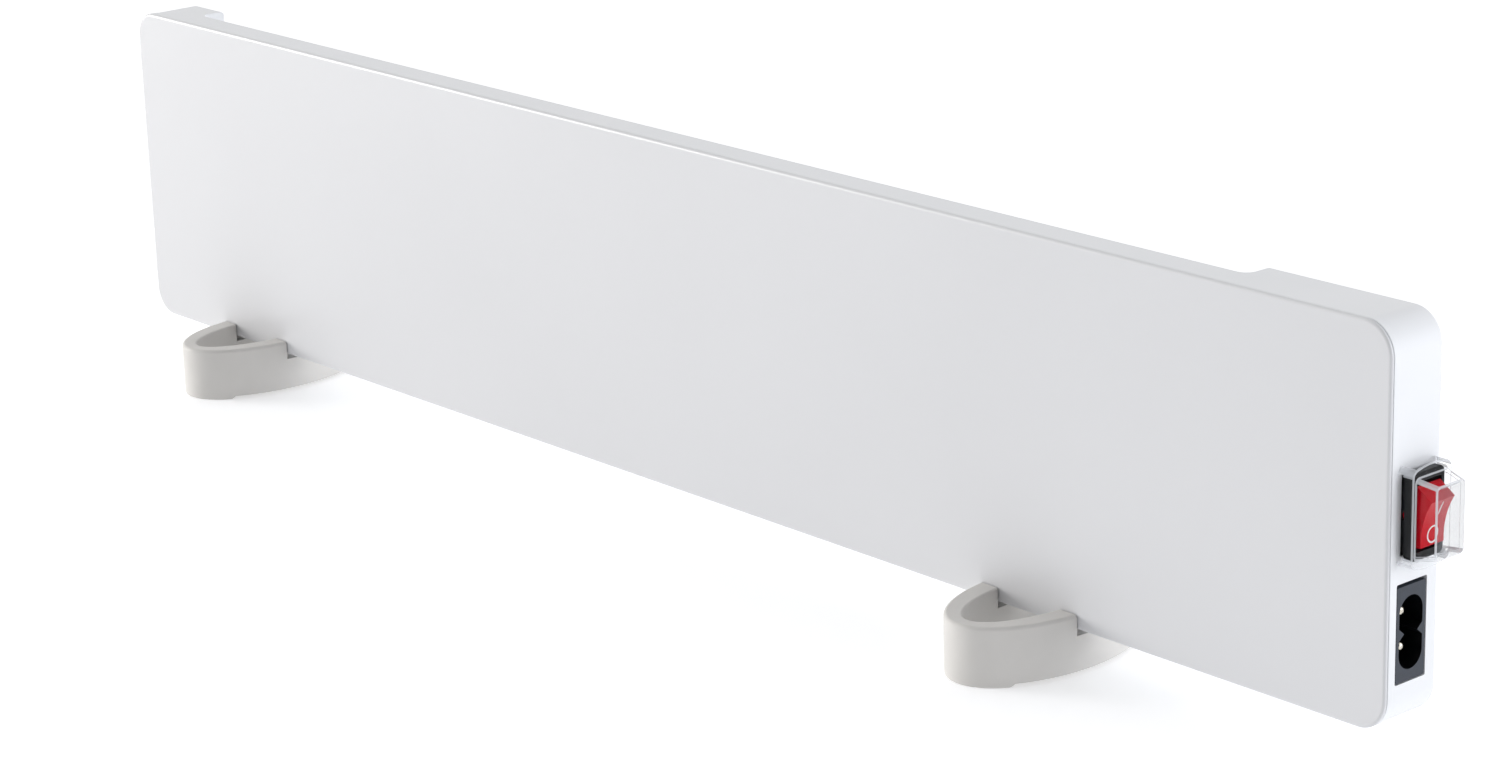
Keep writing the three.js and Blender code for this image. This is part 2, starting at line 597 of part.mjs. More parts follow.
function rearHousing() {
  const outer = steppedBody({ frontY: SEAM_Y, outlineAt: (inset) => panelOutline(FRAME_STEP + inset),
    boxWall: 0, slimWall: 0, fillet: BOX_FILLET, edgeRound: BOX_EDGE_ROUND });
  const lip = prism("y", panelOutline(FRAME_WALL + CLEARANCE), SEAM_Y - LIP_DEPTH, SEAM_Y + 1);
  const hollow = steppedBody({ frontY: SEAM_Y - LIP_DEPTH - 1, outlineAt: () => panelOutline(HOUSING_INNER),
    boxWall: HOUSING_WALL, slimWall: SLIM_REAR_WALL, fillet: 0, edgeRound: 0 });
  const cups = [keyholeCup(LEFT_KEYHOLE_X), keyholeCup(RIGHT_KEYHOLE_X)];
  const bosses = SCREW_PLACES.map(screwBoss);
  const carried = joinAll([inletRib(), ...cups.map((cup) => cup.outer),
    ...bosses.map((boss) => boss.outer)]);
  return cutAll(outer.add(lip).subtract(hollow).add(carried), [
    switchOpening(), inletOpening(),
    ...cups.flatMap((cup) => [cup.inner, cup.mouth]),
    ...bosses.flatMap((boss) => [boss.pass, boss.sink]),
  ]);
}

// ---------------------------------------------------------------- fasteners

function standoff({ x, z }) {
  const rear = PLATE_REAR_Y + STANDOFF_HEIGHT;
  const body = prism("y", circle(STANDOFF_RADIUS, point(x, z)), PLATE_REAR_Y, rear);
  return body.subtract(prism("y", circle(SCREW_SHANK_RADIUS + CLEARANCE, point(x, z)),
    PLATE_REAR_Y + STANDOFF_BASE, rear + 1));
}

// A pan-head screw with a cross recess, entered from the rear.
function rearScrew({ x, z }) {
  const underHead = SLIM_REAR_Y - SCREW_HEAD_SUNK - SCREW_HEAD_HEIGHT;
  const headAt = (inset) => circle(SCREW_HEAD_RADIUS - inset, point(x, z));
  const head = loft("y", [
    { at: underHead, outline: headAt(0) },
    ...roundedEdge(headAt, SLIM_REAR_Y - SCREW_HEAD_SUNK, -1, 0.9),
  ]);
  const shank = prism("y", circle(SCREW_SHANK_RADIUS, point(x, z)),
    underHead - SCREW_LENGTH, underHead + SCREW_HEAD_HEIGHT / 2);
  const cross = [[SCREW_CROSS, SCREW_CROSS_WIDTH], [SCREW_CROSS_WIDTH, SCREW_CROSS]];
  const slots = cross.map(([width, height]) => prism("y",
    centredRectangle(width, height, 0, point(x, z)), underHead + SCREW_HEAD_HEIGHT / 2, SLIM_REAR_Y));
  return cutAll(head.add(shank), slots);
}

// ---------------------------------------------------------------- switch

// Everything on the end face is drawn in Y and Z about the switch, with depths along X.
const onSwitch = (y, z) => point(SWITCH_Y + y, SWITCH_Z + z);
const WELL_FLOOR_X = RIGHT_X + BEZEL_FRONT - WELL_DEPTH;
const PIVOT_X = RIGHT_X + PIVOT_OUT;
const ROCKER_HALF_WIDTH = WELL_WIDTH / 2 - CLEARANCE;

function pivotPrism(radius, halfLength) {
  const outline = circle(radius, point(PIVOT_X, SWITCH_Z), 16);
  return prism("y", outline, SWITCH_Y - halfLength, SWITCH_Y + halfLength);
}

// Wedges on the short sides catch behind the end wall.
function snapWedge(sign) {
  const start = END_X - HOUSING_WALL - CLEARANCE;
  const side = SWITCH_Z + sign * SWITCH_BODY_HEIGHT / 2;
  const root = side - sign * CLEARANCE;
  const outline = [point(start, root), point(start - SNAP_LENGTH, root),
    point(start - SNAP_LENGTH, side), point(start, side + sign * SNAP_REACH)];
  return prism("y", sign > 0 ? outline.reverse() : outline,
    SWITCH_Y - SNAP_WIDTH / 2, SWITCH_Y + SNAP_WIDTH / 2);
}

function switchBody() {
  const bezelAt = (inset) => centredRectangle(BEZEL_WIDTH - 2 * inset, BEZEL_HEIGHT - 2 * inset,
    1.5 - inset, onSwitch(0, 0));
  const bezel = loft("x", [
    { at: RIGHT_X + BEZEL_BACK, outline: bezelAt(0) },
    ...roundedEdge(bezelAt, RIGHT_X + BEZEL_FRONT, -1, BEZEL_EDGE_ROUND),
  ]);
  const body = prism("x", centredRectangle(SWITCH_BODY_WIDTH, SWITCH_BODY_HEIGHT, 0, onSwitch(0, 0)),
    SWITCH_REAR_X, RIGHT_X + BEZEL_FRONT - BEZEL_EDGE_ROUND);
  const well = prism("x", centredRectangle(WELL_WIDTH, WELL_HEIGHT, 0.5, onSwitch(0, 0)),
    WELL_FLOOR_X, RIGHT_X + BEZEL_FRONT + 1);
  const socket = pivotPrism(TRUNNION_RADIUS + CLEARANCE, SWITCH_BODY_WIDTH / 2 + CLEARANCE);
  return joinAll([bezel, body, snapWedge(1), snapWedge(-1)]).subtract(well).subtract(socket);
}

// The rocker's side view about its pivot, level: two ridges, a dished face and a round belly.
function rockerProfile() {
  const dishRadius = (ROCKER_TIP_HALF ** 2 + ROCKER_DISH ** 2) / (2 * ROCKER_DISH);
  const dish = Array.from({ length: 13 }, (_, i) => {
    const up = ROCKER_TIP_HALF * (i / 6 - 1);
    return point(ROCKER_TIP_OUT - ROCKER_DISH + dishRadius - Math.sqrt(dishRadius ** 2 - up ** 2), up);
  });
  const upper = [ROCKER_SHOULDER, ROCKER_BELLY, ROCKER_KEEL].map(({ out, half }) => point(out, half));
  const lower = upper.map((p) => point(p.x, -p.y)).reverse();
  return [...dish, ...upper, ...lower];
}

// At rest the switch is off: its lower end is pressed in and its upper end stands out.
function rocker() {
  const outline = rockerProfile().map((p) =>
    p.rotateAround(point(0, 0), -ROCKER_TILT).add(point(PIVOT_X, SWITCH_Z)));
  const body = prism("y", outline, SWITCH_Y - ROCKER_HALF_WIDTH, SWITCH_Y + ROCKER_HALF_WIDTH);
  return body.add(pivotPrism(TRUNNION_RADIUS, ROCKER_HALF_WIDTH + TRUNNION_LENGTH));
}

function spadeTab(fromX, toX, y, z) {
  return prism("x", centredRectangle(TAB_WIDTH, TAB_THICKNESS, 0, point(y, z)), toX, fromX);
}

function switchTerminal(offset) {
  return spadeTab(SWITCH_REAR_X, SWITCH_REAR_X - TAB_LENGTH, SWITCH_Y, SWITCH_Z + offset);
}

// ---------------------------------------------------------------- splash cover

// A rectangle whose short sides are arched.
function barrel(halfWidth, halfHeight, bulge, cornerRadius) {
  const steps = 6;
  const arch = Array.from({ length: steps - 1 }, (_, i) => {
    const across = 1 - 2 * (i + 1) / steps;
    return { at: onSwitch(halfWidth * across, halfHeight + bulge * (1 - across ** 2)), radius: 0 };
  });
  const under = arch.map(({ at }) => ({
    at: point(2 * SWITCH_Y - at.x, 2 * SWITCH_Z - at.y), radius: 0 }));
  const corner = (y, z) => ({ at: onSwitch(y * halfWidth, z * halfHeight), radius: cornerRadius });
  return roundedPolygon([corner(-1, -1), ...under, corner(1, -1), corner(1, 1), ...arch,
    corner(-1, 1)], SMALL_STEPS);
}

function splashCover() {
  const skirtAt = (inset) => barrel(BEZEL_WIDTH / 2 + CLEARANCE + COVER_WALL - inset,
    BEZEL_HEIGHT / 2 + CLEARANCE + COVER_WALL - inset, COVER_BULGE, COVER_CORNER_RADIUS - inset);
  const skirt = loft("x", [
    { at: RIGHT_X, outline: skirtAt(0) },
    ...roundedEdge(skirtAt, RIGHT_X + COVER_SKIRT_HEIGHT, -1, COVER_EDGE_ROUND),
  ]);
  const hoodAt = (share, inset) => centredRectangle(
    BEZEL_WIDTH - 2 * (HOOD_SIDE_INSET + HOOD_SIDE_TAPER * share + inset),
    BEZEL_HEIGHT - 2 * (HOOD_END_INSET + HOOD_END_TAPER * share + inset),
    HOOD_CORNER_RADIUS - inset, onSwitch(0, 0));
  const hood = loft("x", [
    { at: RIGHT_X + COVER_SKIRT_HEIGHT - COVER_WALL, outline: hoodAt(0, 0) },
    ...roundedEdge((inset) => hoodAt(1, inset), RIGHT_X + HOOD_REACH, -1, COVER_EDGE_ROUND),
  ]);
  const hollow = loft("x", [
    { at: RIGHT_X + BEZEL_BACK, outline: hoodAt(0, COVER_WALL) },
    { at: RIGHT_X + HOOD_REACH - COVER_WALL, outline: hoodAt(1, COVER_WALL) },
  ]);
  const bezelPocket = prism("x", centredRectangle(BEZEL_WIDTH + 2 * CLEARANCE,
    BEZEL_HEIGHT + 2 * CLEARANCE, 1.5, onSwitch(0, 0)),
  RIGHT_X + COVER_FLOOR, RIGHT_X + BEZEL_FRONT + CLEARANCE);
  const bodyHole = prism("x", centredRectangle(SWITCH_BODY_WIDTH + 2 * CLEARANCE,
    SWITCH_BODY_HEIGHT + 2 * CLEARANCE, 0, onSwitch(0, 0)), RIGHT_X - 1, RIGHT_X + COVER_FLOOR + 0.5);
  return cutAll(skirt.add(hood), [hollow, bezelPocket, bodyHole]);
}

// ---------------------------------------------------------------- inlet

const onInlet = (y, z) => point(INLET_Y + y, INLET_Z + z);

// The figure-eight mouth: a slot with round ends, pinched by a tooth on each side.
function socketOutline() {
  const radius = SOCKET_WIDTH / 2;
  const reach = SOCKET_HEIGHT / 2 - radius;
  const arc = (centre, start) => Array.from({ length: 13 }, (_, i) => {
    const angle = start + Math.PI * i / 12;
    return onInlet(radius * Math.cos(angle), centre + radius * Math.sin(angle));
  });
  const tooth = (side) => [-1, 0, 1].map((step) => onInlet(
    side * (radius - (step ? 0 : SOCKET_TOOTH)), side * step * SOCKET_TOOTH_BASE / 2));
  return [...tooth(1), ...arc(reach, 0), ...tooth(-1), ...arc(-reach, Math.PI)];
}

function inletBody() {
  const faceX = RIGHT_X - 0.2;
  const block = prism("x", centredRectangle(INLET_FACE_WIDTH, INLET_FACE_HEIGHT, 0.4, onInlet(0, 0)),
    INLET_TAB_START_X, faceX);
  const socket = prism("x", socketOutline(), RIGHT_X - SOCKET_DEPTH, RIGHT_X + 1);
  const pinHoles = [-1, 1].map((side) => prism("x",
    circle(PIN_RADIUS + CLEARANCE, onInlet(0, side * PIN_SPACING / 2), 16),
    INLET_TAB_START_X - 1, RIGHT_X - SOCKET_DEPTH + 1));
  const latch = prism("x", centredRectangle(6, INLET_FACE_HEIGHT + 1.8, 0, onInlet(0, 0)),
    END_X - HOUSING_WALL - CLEARANCE - 2, END_X - HOUSING_WALL - CLEARANCE);
  const grooves = [-1, 1].map((side) => prism("x",
    centredRectangle(INLET_FACE_WIDTH + 2, 1.4, 0, onInlet(0, side * (INLET_FACE_HEIGHT / 2 - 2.4))),
    INLET_TAB_START_X - 1, RIGHT_X - SOCKET_DEPTH - 1.2));
  return cutAll(block.add(latch), [socket, ...pinHoles, ...grooves]);
}

function inletPin(side) {
  const centre = onInlet(0, side * PIN_SPACING / 2);
  const nose = loft("x", [
    { at: INLET_TAB_START_X - 0.5, outline: circle(PIN_RADIUS, centre, 16) },
    ...roundedEdge((inset) => circle(PIN_RADIUS - inset, centre, 16),
      RIGHT_X - PIN_TIP_INSIDE, -1, 0.7),
  ]);
  return nose.add(spadeTab(INLET_TAB_START_X, INLET_SLEEVE_X - TAB_LENGTH, centre.x, centre.y));
}

// ---------------------------------------------------------------- sleeves and wires

// A push-on sleeve: a slot at one end for the spade, a bore at the other for the wire.
function spadeSleeve(frontX, y, z) {
  const rearX = frontX - SLEEVE_LENGTH;
  const shell = prism("x", centredRectangle(SLEEVE_WIDTH, SLEEVE_THICKNESS, 1.2, point(y, z)),
    rearX, frontX);
  const slot = prism("x", centredRectangle(TAB_WIDTH + 2 * CLEARANCE, TAB_THICKNESS + 2 * CLEARANCE,
    0, point(y, z)), frontX - TAB_LENGTH - CLEARANCE, frontX + 1);
  const bore = prism("x", circle(WIRE_RADIUS + CLEARANCE, point(y, z), 12),
    rearX - 1, rearX + WIRE_IN_SLEEVE + CLEARANCE);
  return cutAll(shell, [slot, bore]);
}

const at = (x, y, z) => new THREE.Vector3(x, y, z);

// The two points that start a wire straight out of a sleeve, towards the left.
function fromSleeve(frontX, y, z) {
  const mouthX = frontX - SLEEVE_LENGTH;
  return [at(mouthX + WIRE_IN_SLEEVE, y, z), at(mouthX - 2, y, z)];
}

// The two points that end a wire in a film terminal, coming from the right.
function intoTerminal(z) {
  const mouthX = FILM_RIGHT_X + TERMINAL_BARREL_LENGTH;
  return [at(mouthX + 2, TERMINAL_BARREL_Y, z), at(FILM_RIGHT_X + 1 + CLEARANCE, TERMINAL_BARREL_Y, z)];
}

// The two points that end a wire in the thermal cut-out, coming from the right.
function intoCutout(side) {
  const z = CUTOUT_Z + side * CUTOUT_WIRE_SPACING / 2;
  return [at(CUTOUT_RIGHT_X + 6, CUTOUT_MIDDLE_Y, z),
    at(CUTOUT_RIGHT_X - WIRE_IN_SLEEVE + CLEARANCE, CUTOUT_MIDDLE_Y, z)];
}

const INLET_LIVE_Z = INLET_Z + PIN_SPACING / 2;
const INLET_NEUTRAL_Z = INLET_Z - PIN_SPACING / 2;
const SWITCH_LOW_Z = SWITCH_Z - SWITCH_TAB_OFFSET;
const SWITCH_HIGH_Z = SWITCH_Z + SWITCH_TAB_OFFSET;

// The points between a wire's ends are chosen by hand, each from the pieces that it runs among.
const WIRES = {
  wire_neutral: { material: wireBlue, steps: 14, route: [
    ...fromSleeve(INLET_SLEEVE_X, INLET_Y, INLET_NEUTRAL_Z),
    at(RIGHT_BOX_X + 8.7, INLET_Y - 2, (INLET_NEUTRAL_Z + NEUTRAL_Z) / 2),
    ...intoTerminal(NEUTRAL_Z),
  ] },
  wire_inlet_to_switch: { material: wireBrown, steps: 18, route: [
    ...fromSleeve(INLET_SLEEVE_X, INLET_Y, INLET_LIVE_Z),
    at(RIGHT_BOX_X + 9.2, INLET_Y, INLET_LIVE_Z + 4.3),
    at(RIGHT_BOX_X + 10.2, SWITCH_Y - 0.7, SWITCH_LOW_Z - 5.7),
    ...fromSleeve(SWITCH_SLEEVE_X, SWITCH_Y, SWITCH_LOW_Z).reverse(),
  ] },
  wire_switch_to_cutout: { material: wireBrown, steps: 24, route: [
    ...fromSleeve(SWITCH_SLEEVE_X, SWITCH_Y, SWITCH_HIGH_Z),
    at(RIGHT_BOX_X + 10.7, SWITCH_Y - 3.4, SWITCH_HIGH_Z + 0.5),
    at(RIGHT_BOX_X - 0.3, CUTOUT_MIDDLE_Y + 0.1, CUTOUT_Z - 1.8),
    ...intoCutout(-1),
  ] },
  wire_cutout_to_film: { material: wireBrown, steps: 32, route: [
    ...intoCutout(1).reverse(),
    at(RIGHT_BOX_X - 5.3, CUTOUT_MIDDLE_Y + 0.1, CUTOUT_Z + 2.9),
    at(RIGHT_BOX_X + 6.7, CUTOUT_MIDDLE_Y + 0.7, CUTOUT_Z + 8.8),
    at(RIGHT_BOX_X + 8.2, CUTOUT_MIDDLE_Y + 0.7, LIVE_Z - 5.7),
    at(RIGHT_BOX_X + 4.7, CUTOUT_MIDDLE_Y, LIVE_Z - 1),
    ...intoTerminal(LIVE_Z),
  ] },
};

// ---------------------------------------------------------------- feet

// An elliptical ring, notched across the top for the panel and raised between its two toes.
function foot(centreX) {
  const halfWidth = FOOT_WIDTH / 2;
  const halfLength = FOOT_LENGTH / 2;
  const outerAt = (inset) => ellipse(halfWidth - inset, halfLength - inset);
  const innerAt = (grow) => ellipse(halfWidth - FOOT_SIDE_WALL + grow, halfLength - FOOT_TIP_WALL + grow);
  const lowerRound = FOOT_EDGE_ROUND / 2;
  const upperEdge = (outlineAt) => roundedEdge(outlineAt, FOOT_TOP_Z, -1, FOOT_EDGE_ROUND);
  const outer = loft("z", [...roundedEdge(outerAt, 0, 1, lowerRound), ...upperEdge(outerAt)]);
  const inner = loft("z", [
    { at: -1, outline: innerAt(0) },
    { at: FOOT_TOP_Z - FOOT_EDGE_ROUND / 2, outline: innerAt(0) },
    { at: FOOT_TOP_Z + 0.01, outline: innerAt(FOOT_EDGE_ROUND / 2) },
    { at: FOOT_TOP_Z + 1, outline: innerAt(FOOT_EDGE_ROUND / 2) },
  ]);
  const gripHalf = SLIM_DEPTH / 2 + CLEARANCE;
  const notch = prism("z", rectangle(-halfWidth - 1, -gripHalf, halfWidth + 1, gripHalf),
    NOTCH_FLOOR_Z, FOOT_TOP_Z + 1);
  const toeStart = halfLength - FOOT_TOE_LENGTH;
  const archway = prism("x", [point(-toeStart - 1, -1), point(toeStart + 1, -1),
    point(toeStart - FOOT_TOE_HEIGHT, FOOT_TOE_HEIGHT),
    point(-toeStart + FOOT_TOE_HEIGHT, FOOT_TOE_HEIGHT)], -halfWidth - 1, halfWidth + 1);
  const ribX = halfWidth - FOOT_SIDE_WALL / 2;
  const seatRibs = [-1, 1].map((side) => prism("z", centredRectangle(FOOT_SEAT_RIB_WIDTH,
    SLIM_DEPTH, 0.4, point(side * ribX, 0)), NOTCH_FLOOR_Z - 1, LIFT));
  return cutAll(outer, [inner, notch, archway]).add(joinAll(seatRibs)).translate([centreX, 0, 0]);
}

// ---------------------------------------------------------------- the whole heater

const heater = new THREE.Group();

heater.add(
  part("front_plate", frontPlate(), enamelWhite),
  part("front_frame", frontFrame(), housingWhite),
  part("rear_housing", rearHousing(), housingWhite),
  part("heating_film", stackSheet(FILM_RIGHT_X, PLATE_REAR_Y, FILM_REAR_Y, STANDOFF_RADIUS), filmAmber),
  part("heating_track", heatingTrack(), trackMetal),
  part("reflector_foil", stackSheet(BOARD_RIGHT_X, FOIL_FRONT_Y, FOIL_REAR_Y, STANDOFF_RADIUS), foilMetal),
  part("insulation_board", insulationBoard(), boardWool),
  part("thermal_cutout", thermalCutout(), cutoutWhite),
  part("film_terminal_live", filmTerminal(LIVE_Z), brass),
  part("film_terminal_neutral", filmTerminal(NEUTRAL_Z), brass),
);

SCREW_PLACES.forEach((place, i) => heater.add(
  part(`standoff_${i + 1}`, standoff(place), zincSteel),
  part(`rear_screw_${i + 1}`, rearScrew(place), zincSteel),
));

heater.add(
  part("switch_body", switchBody(), switchBlack),
  part("rocker", rocker(), rockerRed),
  part("switch_terminal_lower", switchTerminal(-SWITCH_TAB_OFFSET), brass),
  part("switch_terminal_upper", switchTerminal(SWITCH_TAB_OFFSET), brass),
  part("splash_cover", splashCover(), clearPlastic),
  part("inlet_body", inletBody(), inletBlack),
  part("inlet_pin_live", inletPin(1), nickel),
  part("inlet_pin_neutral", inletPin(-1), nickel),
  part("sleeve_inlet_live", spadeSleeve(INLET_SLEEVE_X, INLET_Y, INLET_LIVE_Z), sleeveNylon),
  part("sleeve_inlet_neutral", spadeSleeve(INLET_SLEEVE_X, INLET_Y, INLET_NEUTRAL_Z), sleeveNylon),
  part("sleeve_switch_lower", spadeSleeve(SWITCH_SLEEVE_X, SWITCH_Y, SWITCH_LOW_Z), sleeveNylon),
  part("sleeve_switch_upper", spadeSleeve(SWITCH_SLEEVE_X, SWITCH_Y, SWITCH_HIGH_Z), sleeveNylon),
);

for (const [name, { material, steps, route }] of Object.entries(WIRES)) {
  heater.add(part(name, tube(route, WIRE_RADIUS, steps), material));
}

heater.add(
  part("foot_left", foot(LEFT_X + LEFT_FOOT_FROM_END), footGrey),
  part("foot_right", foot(RIGHT_X - RIGHT_FOOT_FROM_END), footGrey),
);

// The splash cover stands out on the right, so the footprint's middle lies right of the panel's.
heater.position.x = -HOOD_REACH / 2;

export default heater;
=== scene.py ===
"""The looks of a slim infrared panel heater that stands on two clip-on feet.

Everything is in metres in the frame of the CAD: +X runs along the panel to the switch end, +Y to
the rear, +Z up. Sizes given here in millimetres are multiplied by MM where they are used.
"""

import json
import math

import bmesh
import bpy
from mathutils import Matrix, Vector


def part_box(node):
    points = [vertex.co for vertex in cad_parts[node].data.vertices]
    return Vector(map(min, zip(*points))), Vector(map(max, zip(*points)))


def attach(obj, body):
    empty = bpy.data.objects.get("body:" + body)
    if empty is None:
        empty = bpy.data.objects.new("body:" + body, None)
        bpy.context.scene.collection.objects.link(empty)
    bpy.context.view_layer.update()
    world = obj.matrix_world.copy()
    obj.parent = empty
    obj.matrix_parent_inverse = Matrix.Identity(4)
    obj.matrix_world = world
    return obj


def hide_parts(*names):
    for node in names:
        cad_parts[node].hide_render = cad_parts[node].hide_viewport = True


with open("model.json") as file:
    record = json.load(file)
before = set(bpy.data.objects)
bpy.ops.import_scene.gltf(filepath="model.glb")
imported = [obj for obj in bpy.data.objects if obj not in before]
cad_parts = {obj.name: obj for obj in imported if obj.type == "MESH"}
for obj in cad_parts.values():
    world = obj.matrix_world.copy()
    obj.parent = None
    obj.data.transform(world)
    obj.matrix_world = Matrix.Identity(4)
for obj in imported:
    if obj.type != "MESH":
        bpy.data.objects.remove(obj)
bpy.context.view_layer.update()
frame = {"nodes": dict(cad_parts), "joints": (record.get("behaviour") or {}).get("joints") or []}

MM = 0.001

# ------------------------------------------------------------------ sizes, in millimetres

CORNER_RADIUS = 8
PLATE_EDGE_DEPTH = 0.6  # the plate's front edge is turned back this far
PLATE_EDGE_INSET = 0.9  # over this width
FRAME_WALL = 1.4
FRAME_STEP = 0.15  # the frame stands this much outside the housing
FRAME_FRONT_ROUND = 0.25
FRAME_REAR_ROUND = 0.2
LIP_DEPTH = 1.6
HOUSING_WALL = 2.4
SLIM_WALL = 1.8
SLIM_DEPTH = 9.7
LEFT_BOX_WIDTH = 21
RIGHT_BOX_WIDTH = 50.7
BOX_EDGE = 1.2
BOX_FILLET = 3
BOSS_RADIUS = 4.2
BOSS_FRONT = 5.4  # behind the front face
HOLLOW_START = 3  # the housing's hollow starts this far ahead of its seam

KEYHOLE_ROUND = 4.2
KEYHOLE_SLOT = 4.8
KEYHOLE_RISE = 8
KEYHOLE_HEIGHT = 66  # above the panel's lower edge
KEYHOLE_CUP = 6
KEYHOLE_CUP_WALL = 1.2
RIGHT_KEYHOLE_FROM_END = 41

SCREW_HEAD = 2.75
SCREW_HEAD_HEIGHT = 1.6
SCREW_SUNK = 0.4
SCREW_SHANK = 1.2
SCREW_LENGTH = 5.2
SCREW_TIP = (0.5, 0.7)  # its length, and the radius at its end
SCREW_RIM = 0.1
SCREW_HEAD_SIDE = 0.6
SCREW_DOME = (0.7, 1.3)  # starts this high on the head, and is this wide
CROSS = (2.7, 0.62)
CROSS_DEPTH = 1.0
CROSS_TAPER = (0.45, 0.8)  # the size at the bottom, as shares of that at the top
THREAD_PITCH = 0.55
THREAD_DEPTH = 0.22
THREAD_TURN = [(0.15, THREAD_DEPTH), (0.3, 0), (0.4, 0.04), (THREAD_PITCH, THREAD_DEPTH)]

SWITCH_BODY = (9.6, 18.6)
BEZEL = (11.2, 20.6)
BEZEL_FRONT = 3.4  # out from the end face
COVER_FLOOR = 0.85
COVER_WALL = 0.7
COVER_BULGE = 1
COVER_SKIRT = 4.4
COVER_ROUND = 0.5  # on the outer rims of the skirt and the hood
COVER_INNER_ROUND = 0.3
SKIRT_CORNER = 1.8
POCKET_CORNER = 1.5
HOOD_BASE = (11.5, 19.2)
HOOD_TOP = (9.8, 17.5)
HOOD_CORNER_RADIUS = 1.2
HOOD_LEAST_RADIUS = 0.3
HOOD_FLARE = 0.5  # the fillet where the hood rises from the skirt
ROCKER_HALF_WIDTH = 3.95
ROCKER_TIP = (5.1, 5.8)  # out from the pivot, up or down
ROCKER_DISH = 0.9
ROCKER_CORNERS = [(0.3, 7.6), (-2.2, 6), (-4.2, 2)]
ROCKER_TILT = math.radians(14)
TRUNNION_RADIUS = 1.1
TRUNNION_LENGTH = 0.7  # past each side of the rocker
MARK_FACES = (-0.03, 0.025)  # a mark's two faces, out from the dished face
OFF_RING_UP = -3.3  # from the pivot
OFF_RING_OUTER = (1.9, 2.1)
OFF_RING_INNER = (1.5, 1.7)
ON_BAR_UP = 3.1
ON_BAR_ASIDE = 0.7  # the bar mark lies this far to the rear of the middle
ON_BAR_OUTER = (0.24, 1.9)
ON_BAR_INNER = (0.02, 1.66)

INLET_FACE = (9.8, 22.8)
INLET_TOP_GAP = 0.9
INLET_CORNER = 0.4
SOCKET = (8, 17.6)
SOCKET_DEPTH = 12.4
SOCKET_TOOTH = 1.75
SOCKET_TOOTH_BASE = 3
PIN_RADIUS = 1.2
PIN_SPACING = 8.6
PIN_ROOT = 0.5  # the round part starts this far behind the inlet
PIN_NOSE = 0.9
TAB = (4.8, 0.8)
LATCH_WIDTH = 6
LATCH_REACH = 0.9  # past the inlet's outline, above and below
LATCH_DEPTH = 2
INLET_RIB = 1.5  # thickness of the rib behind the inlet
INLET_RIB_PAST = 2  # it reaches this far above and below the inlet
RIB_WINDOW_ROOM = (1.4, 3)  # round the two spades
INLET_GROOVE = 1.4
INLET_GROOVE_FROM_END = 2.4
INLET_GROOVE_START = 1.2  # behind the socket's floor

FOOT_SIDE_WALL = 6.3
FOOT_TIP_WALL = 4.1
FOOT_UPPER_ROUND = 1.0
FOOT_LOWER_ROUND = 0.5
FOOT_TOE = (1, 7.3)
FOOT_RIB = (1.6, 1.5)
FOOT_MOUTH_ROUND = 0.6
FOOT_SIDES = 144
CLEARANCE = 0.3

# How far the sharp edges of the remade pieces are rounded.
HOUSING_EDGE = 0.25
SCREW_EDGE = 0.05
BEZEL_EDGE = 0.12
ROCKER_EDGE = 0.22
INLET_EDGE = 0.15
FOOT_EDGE = 0.4

BOX_MATCH = 0.15  # a piece stays this close to the box of what it stands for
ARC_STEPS = 20  # facets on each quarter turn that shows
SHARP = 0.01  # the radius of a corner that is left sharp
EDGE_ON = math.cos(math.radians(14))  # a face turned further than this is a rounded edge


# ------------------------------------------------------------------ meshes

def corner_outline(low, high, radius, steps=ARC_STEPS):
    """Points round a rectangle, anticlockwise, with an arc at each corner."""
    points = []
    centres = [(high[0] - radius, high[1] - radius), (low[0] + radius, high[1] - radius),
               (low[0] + radius, low[1] + radius), (high[0] - radius, low[1] + radius)]
    for quarter, (u, v) in enumerate(centres):
        for i in range(steps + 1):
            angle = math.pi / 2 * (quarter + i / steps)
            points.append((u + radius * math.cos(angle), v + radius * math.sin(angle)))
    return points


def oval(centre, half, sides, start=0):
    """Points round an ellipse of two half sizes, from a start in shares of one step."""
    angles = [2 * math.pi * (i + start) / sides for i in range(sides)]
    return [(centre[0] + half[0] * math.cos(a), centre[1] + half[1] * math.sin(a)) for a in angles]


def rounded_path(corners, steps=8):
    """A closed path through (point, radius) corners, each turned by an arc of its radius."""
    points = []
    for i, (at, radius) in enumerate(corners):
        at = Vector(at)
        if radius <= 0:
            points.append(tuple(at))
            continue
        back = (Vector(corners[i - 1][0]) - at).normalized()
        ahead = (Vector(corners[(i + 1) % len(corners)][0]) - at).normalized()
        half = back.angle(ahead) / 2
        centre = at + (back + ahead).normalized() * (radius / math.sin(half))
        start = at + back * (radius / math.tan(half)) - centre
        turn = start.angle_signed(at + ahead * (radius / math.tan(half)) - centre)
        for step in range(steps + 1):
            spot = start.copy()
            spot.rotate(Matrix.Rotation(-turn * step / steps, 2))
            points.append(tuple(centre + spot))
    return points


def rounded_edge(face, body, width, steps=6):
    """(depth, inset) pairs across an edge that is rounded from the body's side to its face."""
    pairs = []
    for i in range(steps + 1):
        angle = math.pi / 2 * i / steps
        pairs.append((body + (face - body) * math.sin(angle), width * (1 - math.cos(angle))))
    return pairs


def facing(axis, outline, depth):
    """An outline's points stood across X, Y or Z at a depth."""
    turn = {"x": lambda u, v: (depth, u, v), "y": lambda u, v: (u, depth, v),
            "z": lambda u, v: (u, v, depth)}[axis]
    return [Vector(turn(u, v)) for u, v in outline]


def linked(name, data):
    """An object with a mesh, a lamp or a lens, in the scene."""
    piece = bpy.data.objects.new(name, data)
    bpy.context.scene.collection.objects.link(piece)
    return piece


